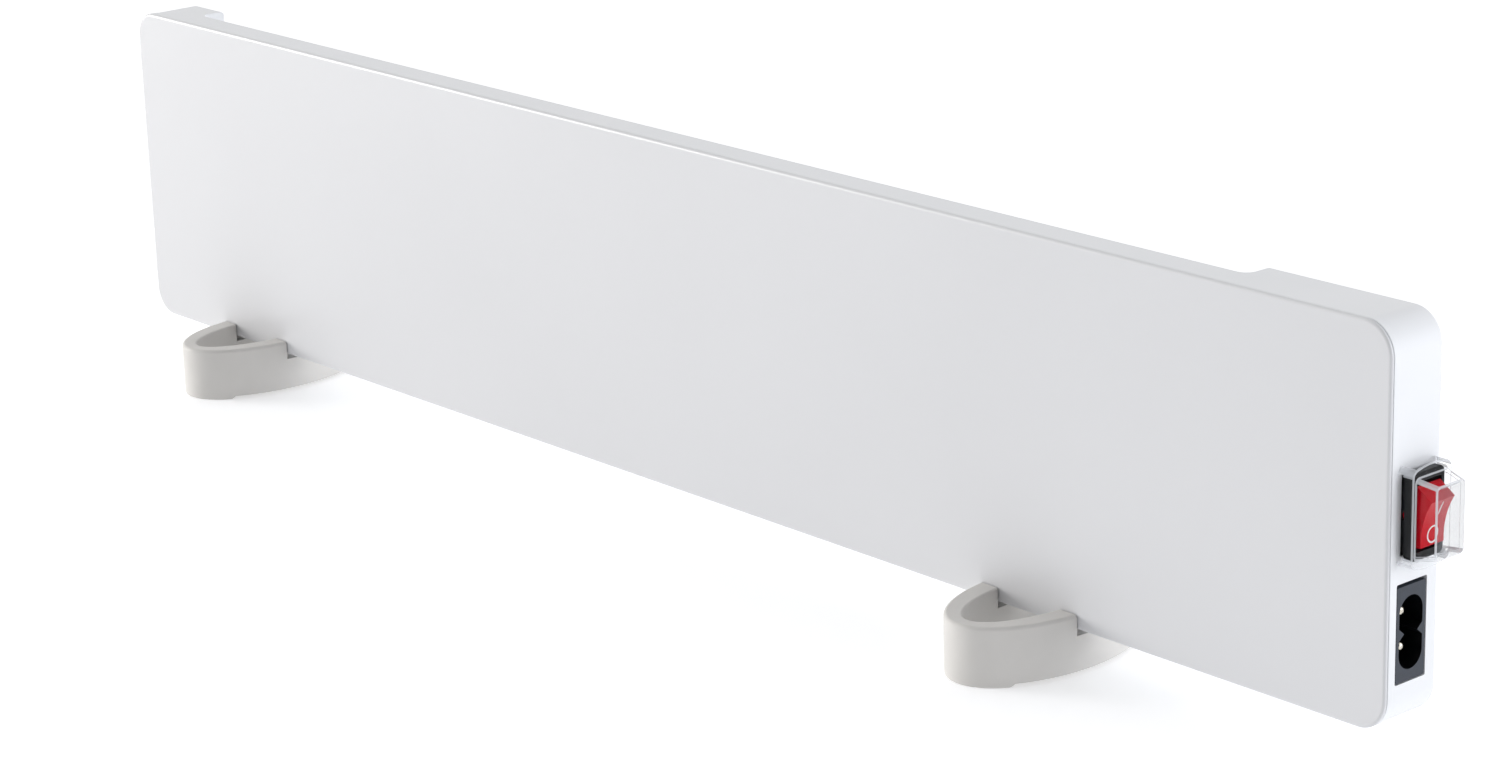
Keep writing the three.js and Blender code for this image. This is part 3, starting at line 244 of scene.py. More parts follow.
def closed_piece(name, bm):
    """A piece made of a closed bmesh, with its faces turned outwards."""
    bmesh.ops.recalc_face_normals(bm, faces=bm.faces)
    mesh = bpy.data.meshes.new(name)
    bm.to_mesh(mesh)
    bm.free()
    return linked(name, mesh)


def skin(name, rings):
    """A closed skin through rings of equal point count, with a flat cap at each end."""
    bm = bmesh.new()
    rows = [[bm.verts.new(p) for p in ring] for ring in rings]
    for row, after in zip(rows, rows[1:]):
        for i in range(len(row)):
            j = (i + 1) % len(row)
            bm.faces.new((row[i], row[j], after[j], after[i]))
    bm.faces.new(rows[0][::-1])
    bm.faces.new(rows[-1])
    return closed_piece(name, bm)


def baked(piece):
    """The piece with its modifiers made part of its mesh."""
    bpy.context.view_layer.update()
    seen = piece.evaluated_get(bpy.context.evaluated_depsgraph_get())
    mesh = bpy.data.meshes.new_from_object(seen)
    piece.modifiers.clear()
    piece.data = mesh
    return piece


def cut(piece, *tools, operation="DIFFERENCE"):
    """The piece less its tools, or joined to them, or what it shares with them."""
    for tool in tools:
        step = piece.modifiers.new("cut", "BOOLEAN")
        step.object = tool
        step.operation = operation
        step.solver = "EXACT"
    baked(piece)
    for tool in tools:
        bpy.data.objects.remove(tool, do_unlink=True)
    return piece


def soften(piece, width, segments=3, angle=30):
    """Rounds the sharp edges as a mould does, and shades the rest smooth."""
    if width:
        edge = piece.modifiers.new("moulded edges", "BEVEL")
        edge.width = width * MM
        edge.segments = segments
        edge.limit_method = "ANGLE"
        edge.angle_limit = math.radians(angle)
        edge.use_clamp_overlap = True
        edge.miter_outer = "MITER_ARC"
        baked(piece)
    piece.data.shade_smooth()
    piece.data.set_sharp_from_angle(angle=math.radians(angle))
    even = piece.modifiers.new("even shading", "WEIGHTED_NORMAL")
    even.keep_sharp = True
    even.weight = 100
    return piece


def cad_copy(node, name, width):
    """A copy of a CAD node with its flat facets joined and its edges rounded."""
    piece = linked(name, frame["nodes"][node].data.copy())
    bm = bmesh.new()
    bm.from_mesh(piece.data)
    bmesh.ops.remove_doubles(bm, verts=bm.verts, dist=1e-6)
    bmesh.ops.dissolve_limit(bm, angle_limit=math.radians(0.5), verts=bm.verts, edges=bm.edges)
    bm.to_mesh(piece.data)
    bm.free()
    return soften(piece, width, 2)


def check_size(piece, nodes):
    """Stops the script if a piece doesn't fill the box of the CAD nodes that it stands for."""
    corners = [piece.matrix_world @ vertex.co for vertex in piece.data.vertices]
    boxes = [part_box(node) for node in nodes]
    for axis in range(3):
        low = min(corner[axis] for corner in corners) - min(box[0][axis] for box in boxes)
        high = max(corner[axis] for corner in corners) - max(box[1][axis] for box in boxes)
        assert max(abs(low), abs(high)) < BOX_MATCH * MM, (piece.name, axis, low, high)


def stands_for(piece, body, material, *nodes):
    """Gives a piece its finish, and puts it in place of its CAD nodes on their body."""
    piece.data.materials.clear()
    piece.data.materials.append(material)
    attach(piece, body)
    if nodes:
        check_size(piece, nodes)
    if nodes:
        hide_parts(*nodes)
    return piece


# ------------------------------------------------------------------ materials

def colour(code):
    """An sRGB hex colour as linear RGBA."""
    parts = [int(code[i:i + 2], 16) / 255 for i in (1, 3, 5)]
    return [p / 12.92 if p <= 0.04045 else ((p + 0.055) / 1.055) ** 2.4 for p in parts] + [1]


def per(millimetres):
    """The texture scale of a pattern that repeats about every so many millimetres."""
    return 1000 / millimetres


def add(tree, kind, settings=(), links=()):
    """Adds a node, sets its properties and input values by name, and links its inputs."""
    node = tree.nodes.new(kind)
    for name, value in dict(settings).items():
        if isinstance(name, str) and hasattr(node, name):
            setattr(node, name, value)
        else:
            node.inputs[name].default_value = value
    for name, (source, output) in dict(links).items():
        tree.links.new(source.outputs[output], node.inputs[name])
    return node


def new_material(name):
    """An empty material, with its tree, its object coordinates and its output."""
    material = bpy.data.materials.new(name)
    material.use_nodes = True
    tree = material.node_tree
    tree.nodes.clear()
    place = add(tree, "ShaderNodeTexCoord")
    out = add(tree, "ShaderNodeOutputMaterial")
    return material, tree, place, out


def lumps(tree, place, size, detail=2, stretch=(1, 1, 1)):
    """Noise with lumps about so many millimetres across; a stretch under 1 draws them out."""
    scaled = add(tree, "ShaderNodeMapping", {"Scale": stretch}, {"Vector": (place, "Object")})
    return add(tree, "ShaderNodeTexNoise", {"Scale": per(size), "Detail": detail},
               {"Vector": (scaled, "Vector")})


def tint(tree, pattern, first, second, low=0.2, high=0.8):
    """A colour that goes from the first to the second as a pattern rises."""
    share = add(tree, "ShaderNodeMapRange", {"From Min": low, "From Max": high},
                {"Value": pattern})
    return add(tree, "ShaderNodeMix",
               {"data_type": "RGBA", 6: colour(first), 7: colour(second)},
               {0: (share, "Result")})


def level(tree, pattern, first, second, low=0.2, high=0.8):
    """A number that goes from the first to the second as a pattern rises."""
    return add(tree, "ShaderNodeMapRange",
               {"From Min": low, "From Max": high, "To Min": first, "To Max": second},
               {"Value": pattern})


def finish_as(name, tones, tone_size, relief_size, height, roughness, metallic=0.0,
              stretch=(1, 1, 1), relief_stretch=None, detail=3, **constants):
    """A surface whose tone and gloss drift over one pattern, over the fine relief of another.

    tones is the darker and the lighter colour, roughness its least and most, sizes and the
    relief's height are in millimetres, and constants are set on the shader by name.
    """
    material, tree, place, out = new_material(name)
    drift = lumps(tree, place, tone_size, detail, stretch)
    grain = lumps(tree, place, relief_size, 2, relief_stretch or stretch)
    shade = tint(tree, (drift, "Fac"), *tones)
    gloss = level(tree, (drift, "Fac"), *roughness)
    relief = add(tree, "ShaderNodeBump", {"Strength": 1.0, "Distance": height * MM},
                 {"Height": (grain, "Fac")})
    settings = {"Metallic": metallic}
    settings.update({key.replace("_", " "): value for key, value in constants.items()})
    surface = add(tree, "ShaderNodeBsdfPrincipled", settings,
                  {"Base Color": (shade, 2), "Roughness": (gloss, "Result"),
                   "Normal": (relief, "Normal")})
    tree.links.new(surface.outputs["BSDF"], out.inputs["Surface"])
    return material


# Powder coat flows out to a soft orange peel, which blurs what it reflects. Its lumps are
# drawn at 3 mm, coarser than life, so that the picture can hold them.
enamel = finish_as("enamel_powder_coated", ("#D5D6D9", "#D9DADD"), 90, 3, 0.006, (0.27, 0.30),
                   detail=1)

# Spark-eroded mould texture gives the white shell an even satin, with slight flow marks.
abs_white = finish_as("abs_white_moulded", ("#E4E6E9", "#EAEBEE"), 26, 0.9, 0.008, (0.36, 0.44))

# A warmer grey with a slightly coarser mould texture: the feet look drier than the panel.
foot_abs = finish_as("abs_grey_moulded", ("#D2D0CD", "#D9D7D4"), 14, 0.8, 0.012, (0.48, 0.58),
                     Specular_IOR_Level=0.3)

# Nearly black, with gloss that comes and goes where the mould was polished by hand.
black_nylon = finish_as("nylon_black_moulded", ("#0C0D10", "#15171B"), 5, 0.6, 0.010,
                        (0.26, 0.38), Specular_IOR_Level=0.25)

# Deep red right through and polished, so its ridges carry thin lights.
red_lens = finish_as("polycarbonate_red_polished", ("#BE0018", "#D0061F"), 7, 1.2, 0.004,
                     (0.14, 0.22), Specular_IOR_Level=0.2)

# Glass-filled slate plastic: short pale fibres lie along the flow, across the face.
inlet_pbt = finish_as("pbt_slate_glass_filled", ("#252B35", "#313844"), 2.4, 0.5, 0.012,
                      (0.42, 0.56), relief_stretch=(1, 1, 0.3))

# The same plastic inside the socket's mouth, painted near black: painted shade for the deep mouth
# that light hardly reaches.
inlet_mouth_painted_shade = finish_as("pbt_slate_mouth_painted_shade", ("#050608", "#0A0C10"), 2.4, 0.8, 0.004,
                           (0.34, 0.44), Specular_IOR_Level=0.15)

# Turned before it was plated, so fine rings run round the pin and break its highlight.
nickel = finish_as("nickel_plated_turned", ("#C9C2B4", "#E0DBD0"), 1.2, 0.35, 0.008,
                   (0.12, 0.24), 1.0, relief_stretch=(1, 0.05, 0.05))

# Barrel-plated zinc has a cloudy blue and yellow spangle.
zinc = finish_as("zinc_barrel_plated", ("#A9AEB6", "#C4C2BA"), 1.6, 0.5, 0.008, (0.28, 0.42), 1.0)

# Rolled strip keeps its rolling lines after stamping.
brass = finish_as("brass_rolled_stamped", ("#BC9850", "#D2AE62"), 2.2, 0.4, 0.008, (0.26, 0.40),
                  1.0, stretch=(0.2, 1, 1))

# Pad-printed ink is thin, and breaks up slightly on the gloss beneath it.
mark_ink = finish_as("ink_white_pad_printed", ("#DCD8D8", "#F4F2F2"), 0.5, 0.3, 0.004, (0.4, 0.55))

# Polyimide web: clear amber, with faint bands from casting along its length.
amber_film = finish_as("polyimide_amber_cast", ("#B87A2C", "#CE9140"), 18, 2, 0.004, (0.18, 0.3),
                       stretch=(0.12, 1, 1))

# Etched foil: matt from the acid, with the mill's rolling lines along the band.
track_foil = finish_as("nickel_foil_etched", ("#B4B6B8", "#C8CACC"), 6, 0.6, 0.006, (0.34, 0.48),
                       1.0, stretch=(0.1, 1, 1))

# Bright foil is never flat: it keeps the creases of being laid by hand.
bright_foil = finish_as("aluminium_foil_rolled", ("#D9DCDF", "#EDEEF0"), 22, 7, 0.10, (0.10, 0.22),
                        1.0, relief_stretch=(0.5, 1, 1))

# Pressed mineral fibre: matted strands in the plane of the board, and a dusty tone.
fibre_board = finish_as("mineral_fibre_pressed", ("#CFC7AF", "#E9E2CE"), 5, 0.9, 0.12, (0.86, 0.96),
                        stretch=(0.3, 1, 1), detail=6)

# Off-white phenolic-like case with a dull, mottled moulding skin.
cutout_case = finish_as("cutout_case_moulded", ("#D2CDBF", "#E0DCD0"), 3, 0.5, 0.012, (0.5, 0.62))

# Blue nylon, slightly waxy, with draw marks along the sleeve.
sleeve_nylon = finish_as("nylon_blue_moulded", ("#2C66A8", "#3B78BC"), 3, 0.5, 0.008, (0.34, 0.46),
                         stretch=(0.3, 1, 1))

# Extruded silicone: dull, with faint die lines along the wire.
wire_brown = finish_as("silicone_brown_extruded", ("#52321F", "#664029"), 2, 0.4, 0.008,
                       (0.5, 0.64), stretch=(0.15, 1, 1))
wire_blue = finish_as("silicone_blue_extruded", ("#27508C", "#33629F"), 2, 0.4, 0.008,
                      (0.5, 0.64), stretch=(0.15, 1, 1))


VEIL = (0.0, 0.012)  # how much of a flat wall shows
OUTER_VEIL = (0.25, 0.30)  # and of the hood's outer face
# a rounded edge is painted pale and shows this much more: a painted highlight
EDGE_HIGHLIGHT_VEIL = 0.62


def clear_cover():
    """Thin clear PVC. Its flat walls hardly show, and its rims and edges are pale.

    The faces marked as its edge are painted pale and less clear: a painted highlight for the light
    that its rims and edges catch. The outer face is a little hazy from its mould. The walls are too
    thin to bend what is seen through them, so they are drawn as a weak veil with a glossy skin.
    """
    material, tree, place, out = new_material("pvc_clear_moulded")
    edge = add(tree, "ShaderNodeAttribute", {"attribute_name": "edge_highlight_share"})
    outer = add(tree, "ShaderNodeAttribute", {"attribute_name": "outer_share"})
    haze = lumps(tree, place, 3, 3)
    veil = level(tree, (haze, "Fac"), *VEIL)
    outer_veil = level(tree, (haze, "Fac"), *OUTER_VEIL)
    outer_part = add(tree, "ShaderNodeMath", {"operation": "MULTIPLY"},
                     {0: (outer, "Fac"), 1: (outer_veil, "Result")})
    edge_highlight_part = add(tree, "ShaderNodeMath", {"operation": "MULTIPLY", 1: EDGE_HIGHLIGHT_VEIL},
                    {0: (edge, "Fac")})
    marked = add(tree, "ShaderNodeMath", {"operation": "ADD"},
                 {0: (outer_part, "Value"), 1: (edge_highlight_part, "Value")})
    cover = add(tree, "ShaderNodeMath", {"operation": "ADD", "use_clamp": True},
                {0: (marked, "Value"), 1: (veil, "Result")})
    # the faces marked as edge are painted pale: a painted highlight
    tone = add(tree, "ShaderNodeMix",
               {"data_type": "RGBA", 6: colour("#86898D"), 7: colour("#DDE0E5")},
               {0: (edge, "Fac")})
    ripple = add(tree, "ShaderNodeBump", {"Strength": 1.0, "Distance": 0.004 * MM},
                 {"Height": (haze, "Fac")})
    surface = add(tree, "ShaderNodeBsdfPrincipled", {"Roughness": 0.08, "IOR": 1.49},
                  {"Base Color": (tone, 2), "Alpha": (cover, "Value"),
                   "Normal": (ripple, "Normal")})
    tree.links.new(surface.outputs["BSDF"], out.inputs["Surface"])
    return material


clear_pvc = clear_cover()

NODES_OF = {
    enamel: ["front_plate"],
    abs_white: ["front_frame", "rear_housing"],
    foot_abs: ["foot_left", "foot_right"],
    black_nylon: ["switch_body"],
    red_lens: ["rocker"],
    clear_pvc: ["splash_cover"],
    inlet_pbt: ["inlet_body"],
    nickel: ["inlet_pin_live", "inlet_pin_neutral"],
    zinc: [f"{kind}_{i}" for kind in ("rear_screw", "standoff") for i in range(1, 7)],
    brass: ["film_terminal_live", "film_terminal_neutral", "switch_terminal_lower",
            "switch_terminal_upper"],
    amber_film: ["heating_film"],
    track_foil: ["heating_track"],
    bright_foil: ["reflector_foil"],
    fibre_board: ["insulation_board"],
    cutout_case: ["thermal_cutout"],
    sleeve_nylon: ["sleeve_inlet_live", "sleeve_inlet_neutral", "sleeve_switch_lower",
                   "sleeve_switch_upper"],
    wire_brown: ["wire_inlet_to_switch", "wire_switch_to_cutout", "wire_cutout_to_film"],
    wire_blue: ["wire_neutral"],
}
for material, nodes in NODES_OF.items():
    for name in nodes:
        mesh = frame["nodes"][name].data
        mesh.materials.clear()
        mesh.materials.append(material)
unfinished = set(frame["nodes"]) - {name for nodes in NODES_OF.values() for name in nodes}
assert not unfinished, unfinished


# ------------------------------------------------------------------ front plate and frame

panel_low, panel_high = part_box("front_plate")
frame_low, frame_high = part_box("front_frame")
housing_low, housing_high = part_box("rear_housing")
FRONT_Y = panel_low.y
SEAM_Y = frame_high.y
SLIM_REAR_Y = FRONT_Y + SLIM_DEPTH * MM
BOX_REAR_Y = housing_high.y
END_X = panel_high.x  # depths on the end face are given outwards from here


def panel_outline(inset):
    """The panel's outline seen from the front, drawn in by an inset in millimetres."""
    return corner_outline((panel_low.x + inset * MM, panel_low.z + inset * MM),
                          (panel_high.x - inset * MM, panel_high.z - inset * MM),
                          (CORNER_RADIUS - inset) * MM)


def front_plate():
    """The front sheet, with its edge rolled back to the frame."""
    edge = rounded_edge(FRONT_Y, FRONT_Y + PLATE_EDGE_DEPTH * MM, PLATE_EDGE_INSET, 8)
    rings = [facing("y", panel_outline(0), panel_high.y)]
    rings += [facing("y", panel_outline(inset), y) for y, inset in edge]
    return soften(skin("front_sheet", rings), 0)


def front_frame():
    """The ring behind the front sheet, rounded where it shows at both seams."""
    round_front = rounded_edge(frame_low.y, frame_low.y + FRAME_FRONT_ROUND * MM,
                               FRAME_FRONT_ROUND, 3)
    round_rear = rounded_edge(frame_high.y, frame_high.y - FRAME_REAR_ROUND * MM,
                              FRAME_REAR_ROUND, 3)
    levels = round_front[::-1] + round_rear
    band = skin("edge_frame", [facing("y", panel_outline(inset), y) for y, inset in levels])
    inner = [facing("y", panel_outline(FRAME_WALL), y)
             for y in (frame_low.y - MM, frame_high.y + MM)]
    return soften(cut(band, skin("inner", inner)), 0)


# ------------------------------------------------------------------ rear housing

def stepped_body(name, front_y, outline_at, box_wall, slim_wall, fillet, edge):
    """The panel's outline carried back to a rear that is deep at both boxes and slim between."""
    rear_y = BOX_REAR_Y - box_wall * MM
    slim_y = SLIM_REAR_Y - slim_wall * MM
    left_x = panel_low.x + (LEFT_BOX_WIDTH - box_wall) * MM
    right_x = panel_high.x - (RIGHT_BOX_WIDTH - box_wall) * MM
    rings = [facing("y", outline_at(0), front_y)]
    if edge:
        rings += [facing("y", outline_at(inset), y)
                  for y, inset in rounded_edge(rear_y, rear_y - edge * MM, edge)]
    else:
        rings.append(facing("y", outline_at(0), rear_y))
    plan = rounded_path([
        ((panel_low.x - MM, front_y - MM), 0), ((panel_high.x + MM, front_y - MM), 0),
        ((panel_high.x + MM, rear_y + MM), 0), ((right_x, rear_y + MM), 0),
        ((right_x, slim_y), fillet * MM), ((left_x, slim_y), fillet * MM),
        ((left_x, rear_y + MM), 0), ((panel_low.x - MM, rear_y + MM), 0)])
    block = skin("plan", [facing("z", plan, z) for z in (panel_low.z - MM, panel_high.z + MM)])
    return cut(skin(name, rings), block, operation="INTERSECT")


def keyhole_outline(x, z):
    """A round mouth that a screw's head passes, and above it a slot that holds its shank."""
    half = KEYHOLE_SLOT / 2
    start = math.acos(half / KEYHOLE_ROUND)
    sweep = math.pi + 2 * start
    round_steps, slot_steps = 36, 16
    points = []
    for i in range(round_steps + 1):
        angle = math.pi - start + sweep * i / round_steps
        points.append((x + KEYHOLE_ROUND * MM * math.cos(angle),
                       z + KEYHOLE_ROUND * MM * math.sin(angle)))
    for i in range(slot_steps + 1):
        angle = math.pi * i / slot_steps
        points.append((x + half * MM * math.cos(angle),
                       z + (KEYHOLE_RISE + half * math.sin(angle)) * MM))
    return points


def between(name, axis, outline, low, high):
    """An outline carried straight from one depth to another."""
    return skin(name, [facing(axis, outline, low), facing(axis, outline, high)])


def circle(radius, centre, sides=40):
    """Points round a circle whose radius is in millimetres."""
    return oval(centre, (radius * MM, radius * MM), sides)


def round_bar(name, axis, radius, centre, low, high):
    """A straight round bar or hole along an axis, with its radius in millimetres."""
    return between(name, axis, circle(radius, centre), low, high)


def centred(width, height, radius, centre):
    """A rectangle about a centre, sized in millimetres."""
    half = (width / 2 * MM, height / 2 * MM)
    low = (centre[0] - half[0], centre[1] - half[1])
    high = (centre[0] + half[0], centre[1] + half[1])
    return corner_outline(low, high, max(radius, SHARP) * MM, 8 if radius else 1)


def loose(size):
    """A width and a height with the clearance added on each side."""
    return [part + 2 * CLEARANCE for part in size]


switch_low, switch_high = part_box("switch_body")
SWITCH = ((switch_low.y + switch_high.y) / 2, (switch_low.z + switch_high.z) / 2)
inlet_low, inlet_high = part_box("inlet_body")
INLET = ((inlet_low.y + inlet_high.y) / 2, (inlet_low.z + inlet_high.z) / 2)
KEYHOLES = [(panel_low.x + LEFT_BOX_WIDTH / 2 * MM, panel_low.z + KEYHOLE_HEIGHT * MM),
            (panel_high.x - RIGHT_KEYHOLE_FROM_END * MM, panel_low.z + KEYHOLE_HEIGHT * MM)]
SCREWS = {}
for i in range(1, 7):
    low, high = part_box(f"rear_screw_{i}")
    SCREWS[f"rear_screw_{i}"] = ((low.x + high.x) / 2, (low.z + high.z) / 2)


def inlet_rib():
    """A rib across the box, behind the inlet, that takes the push of the plug."""
    reach = (INLET_FACE[1] / 2 + INLET_RIB_PAST) * MM
    plate = corner_outline((INLET[0] - INLET_FACE[0] / 2 * MM, INLET[1] - reach),
                           (BOX_REAR_Y - HOUSING_WALL / 2 * MM, INLET[1] + reach), SHARP * MM, 1)
    rear_x = inlet_low.x - (CLEARANCE + INLET_RIB) * MM
    rib = between("inlet rib", "x", plate, rear_x, rear_x + INLET_RIB * MM)
    window = centred(TAB[0] + RIB_WINDOW_ROOM[0], PIN_SPACING + TAB[1] + RIB_WINDOW_ROOM[1],
                     0.5, INLET)
    return cut(rib, between("window", "x", window, rear_x - MM, rear_x + (INLET_RIB + 1) * MM))


def rear_housing():
    """One moulding: the shell with its lip, screw bosses and keyhole cups, and its openings."""
    shell = stepped_body("back_moulding", SEAM_Y, lambda inset: panel_outline(FRAME_STEP + inset),
                         0, 0, BOX_FILLET, BOX_EDGE)
    lip = skin("lip", [facing("y", panel_outline(FRAME_WALL + CLEARANCE), y)
                       for y in (SEAM_Y - LIP_DEPTH * MM, SEAM_Y + MM)])
    hollow = stepped_body("hollow", SEAM_Y - HOLLOW_START * MM,
                          lambda inset: panel_outline(FRAME_STEP + HOUSING_WALL), HOUSING_WALL,
                          SLIM_WALL, 0, 0)
    cut(shell, lip, operation="UNION")
    cut(shell, hollow)
    wall_y = BOX_REAR_Y - HOUSING_WALL * MM
    cup_y = wall_y - KEYHOLE_CUP * MM
    seat_y = FRONT_Y + BOSS_FRONT * MM
    sink_y = SLIM_REAR_Y - (SCREW_SUNK + SCREW_HEAD_HEIGHT) * MM
    cup_height = 2 * KEYHOLE_ROUND + KEYHOLE_RISE + CLEARANCE
    solids, voids = [], []
    for x, z in KEYHOLES:
        middle = (x, z + (KEYHOLE_RISE - CLEARANCE) / 2 * MM)
        width = 2 * (KEYHOLE_ROUND + CLEARANCE)
        grow = 2 * KEYHOLE_CUP_WALL
        solids.append(between("cup", "y", centred(width + grow, cup_height + grow, 1, middle),
                              cup_y, wall_y + MM))
        voids.append(between("cup room", "y", centred(width, cup_height, 1, middle),
                             cup_y + KEYHOLE_CUP_WALL * MM, wall_y))
        voids.append(between("mouth", "y", keyhole_outline(x, z), wall_y - MM, BOX_REAR_Y + MM))
    for place in SCREWS.values():
        solids.append(round_bar("boss", "y", BOSS_RADIUS, place, seat_y, SLIM_REAR_Y - MM))
        voids.append(round_bar("pass", "y", SCREW_SHANK + CLEARANCE, place, seat_y - MM,
                               SLIM_REAR_Y))
        voids.append(round_bar("sink", "y", SCREW_HEAD + CLEARANCE, place, sink_y,
                               SLIM_REAR_Y + MM))
    inside_x = END_X - (HOUSING_WALL + 2) * MM
    voids.append(between("switch hole", "x", centred(*loose(SWITCH_BODY), 0, SWITCH),
                         inside_x, END_X + MM))
    gap = INLET_TOP_GAP - CLEARANCE
    width, height = loose(INLET_FACE)
    middle = (INLET[0], INLET[1] + gap / 2 * MM)
    voids.append(between("inlet hole", "x", centred(width, height + gap, INLET_CORNER, middle),
                         inside_x, END_X + MM))
    solids.append(inlet_rib())
    for solid in solids:
        cut(shell, solid, operation="UNION")
    for void in voids:
        cut(shell, void)
    return soften(shell, HOUSING_EDGE, 2)


def rear_screw(name):
    """A pan-head screw with a cross recess and a rolled thread, entered from the rear."""
    x, z = SCREWS[name]
    top = SLIM_REAR_Y - SCREW_SUNK * MM
    under = top - SCREW_HEAD_HEIGHT * MM
    start = under - SCREW_LENGTH * MM
    levels = [(start, SCREW_TIP[1]), (start + SCREW_TIP[0] * MM, SCREW_SHANK - THREAD_DEPTH)]
    for turn in range(int((SCREW_LENGTH - 1) / THREAD_PITCH)):
        root = start + (SCREW_TIP[0] + turn * THREAD_PITCH) * MM
        levels += [(root + along * MM, SCREW_SHANK - depth) for along, depth in THREAD_TURN]
    levels += [(under, SCREW_SHANK - SCREW_RIM), (under, SCREW_HEAD - SCREW_RIM),
               (under + SCREW_RIM * MM, SCREW_HEAD), (under + SCREW_HEAD_SIDE * MM, SCREW_HEAD)]
    dome_start, dome_width = SCREW_DOME
    levels += [(y, SCREW_HEAD - inset)
               for y, inset in rounded_edge(top, under + dome_start * MM, dome_width, 6)]
    rings = [facing("y", circle(radius, (x, z), 48), y) for y, radius in levels]
    screw = skin(name + "_cross", rings)
    for width, height in (CROSS, CROSS[::-1]):
        wide = centred(width, height, 0, (x, z))
        deep = centred(width * CROSS_TAPER[0], height * CROSS_TAPER[1], 0, (x, z))
        cut(screw, skin("slot", [facing("y", wide, top + 0.1 * MM),
                                 facing("y", deep, top - CROSS_DEPTH * MM)]))
    return soften(screw, SCREW_EDGE, 1, 40)


stands_for(front_plate(), "heater", enamel, "front_plate")
stands_for(front_frame(), "heater", abs_white, "front_frame")
stands_for(rear_housing(), "heater", abs_white, "rear_housing")
for name in SCREWS:
    stands_for(rear_screw(name), "heater", zinc, name)


# ------------------------------------------------------------------ switch and its cover

pivot = Vector(next(j for j in frame["joints"] if j["name"] == "rocker_tilt")["pos_m"])


def on_end(out):
    """Millimetres out from the end face, as X."""
    return END_X + out * MM


def rocker_point(out, up):
    """A point of the rocker's side view, turned to its off position."""
    c, s = math.cos(ROCKER_TILT), math.sin(ROCKER_TILT)
    return (pivot.x + (out * c + up * s) * MM, pivot.z + (up * c - out * s) * MM)


def dish_out(up):
    """How far out the dished face lies at a height, before the rocker is turned."""
    radius = (ROCKER_TIP[1] ** 2 + ROCKER_DISH ** 2) / (2 * ROCKER_DISH)
    return ROCKER_TIP[0] - ROCKER_DISH + radius - math.sqrt(radius ** 2 - up ** 2)


def rocker():
    """The rocker, cut from its side view, on the two trunnions that it turns on."""
    steps = 24
    face = [ROCKER_TIP[1] * (i / steps * 2 - 1) for i in range(steps + 1)]
    side_view = [(dish_out(up), up) for up in face]
    side_view += ROCKER_CORNERS + [(out, -up) for out, up in ROCKER_CORNERS[::-1]]
    rings = []
    for y in (-ROCKER_HALF_WIDTH, ROCKER_HALF_WIDTH):
        ring = [rocker_point(out, up) for out, up in side_view]
        rings.append([(x, pivot.y + y * MM, z) for x, z in ring])
    body = skin("red_rocker", rings)
    reach = (ROCKER_HALF_WIDTH + TRUNNION_LENGTH) * MM
    cut(body, round_bar("trunnion", "y", TRUNNION_RADIUS, (pivot.x, pivot.z), pivot.y - reach,
                        pivot.y + reach), operation="UNION")
    return soften(body, ROCKER_EDGE, 3, 25)


def mark(name, outer, inner):
    """A thin printed mark on the dished face, between two rings of (across, up) points."""
    bm = bmesh.new()
    rows = []
    for lift in MARK_FACES:
        for ring in (outer, inner):
            row = []
            for across, up in ring:
                x, z = rocker_point(dish_out(up) + lift, up)
                row.append(bm.verts.new((x, pivot.y + across * MM, z)))
            rows.append(row)
    low_out, low_in, top_out, top_in = rows
    count = len(outer)
    for i in range(count):
        j = (i + 1) % count
        bm.faces.new((top_out[i], top_out[j], top_in[j], top_in[i]))
        bm.faces.new((low_out[j], low_out[i], low_in[i], low_in[j]))
        bm.faces.new((low_out[i], low_out[j], top_out[j], top_out[i]))
        bm.faces.new((low_in[j], low_in[i], top_in[i], top_in[j]))
    return closed_piece(name, bm)


def off_ring():
    """The ring that marks the off half, printed low on the face."""
    centre = (0, OFF_RING_UP)
    return mark("off_ring", oval(centre, OFF_RING_OUTER, 40), oval(centre, OFF_RING_INNER, 40))


def on_bar():
    """The bar that marks the on half, printed high on the face."""
    centre = (ON_BAR_ASIDE, ON_BAR_UP)
    return mark("on_bar", oval(centre, ON_BAR_OUTER, 24, 0.5), oval(centre, ON_BAR_INNER, 24, 0.5))


def barrel(grow, corner):
    """The skirt's outline: a rectangle whose short sides are arched."""
    half = [size / 2 + CLEARANCE + COVER_WALL + grow for size in BEZEL]
    arch = (0.6, 0.4, 0.2, 0, -0.2, -0.4, -0.6)  # shares of the half width, clear of the corners
    corners = [((-half[0], -half[1]), corner)]
    corners += [((-across * half[0], -half[1] - COVER_BULGE * (1 - across ** 2)), 0)
                for across in arch]
    corners += [((half[0], -half[1]), corner), ((half[0], half[1]), corner)]
    corners += [((across * half[0], half[1] + COVER_BULGE * (1 - across ** 2)), 0)
                for across in arch]
    corners += [((-half[0], half[1]), corner)]
    return [(SWITCH[0] + u * MM, SWITCH[1] + v * MM) for u, v in rounded_path(corners)]


def mark_cover_faces(cover):
    """Marks the rounded faces, which are seen edge-on and take a painted highlight, and the hood's
    outer face.
    """
    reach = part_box("splash_cover")[1].x
    edge = cover.data.attributes.new("edge_highlight_share", "FLOAT", "FACE")
    outer = cover.data.attributes.new("outer_share", "FLOAT", "FACE")
    for face in cover.data.polygons:
        slant = max(abs(part) for part in face.normal)
        # a face seen edge-on takes the painted highlight
        edge.data[face.index].value = 1.0 if slant < EDGE_ON else 0.0
        flat_outer = face.normal.x > EDGE_ON and face.center.x > reach - 0.2 * MM
        outer.data[face.index].value = 1.0 if flat_outer else 0.0


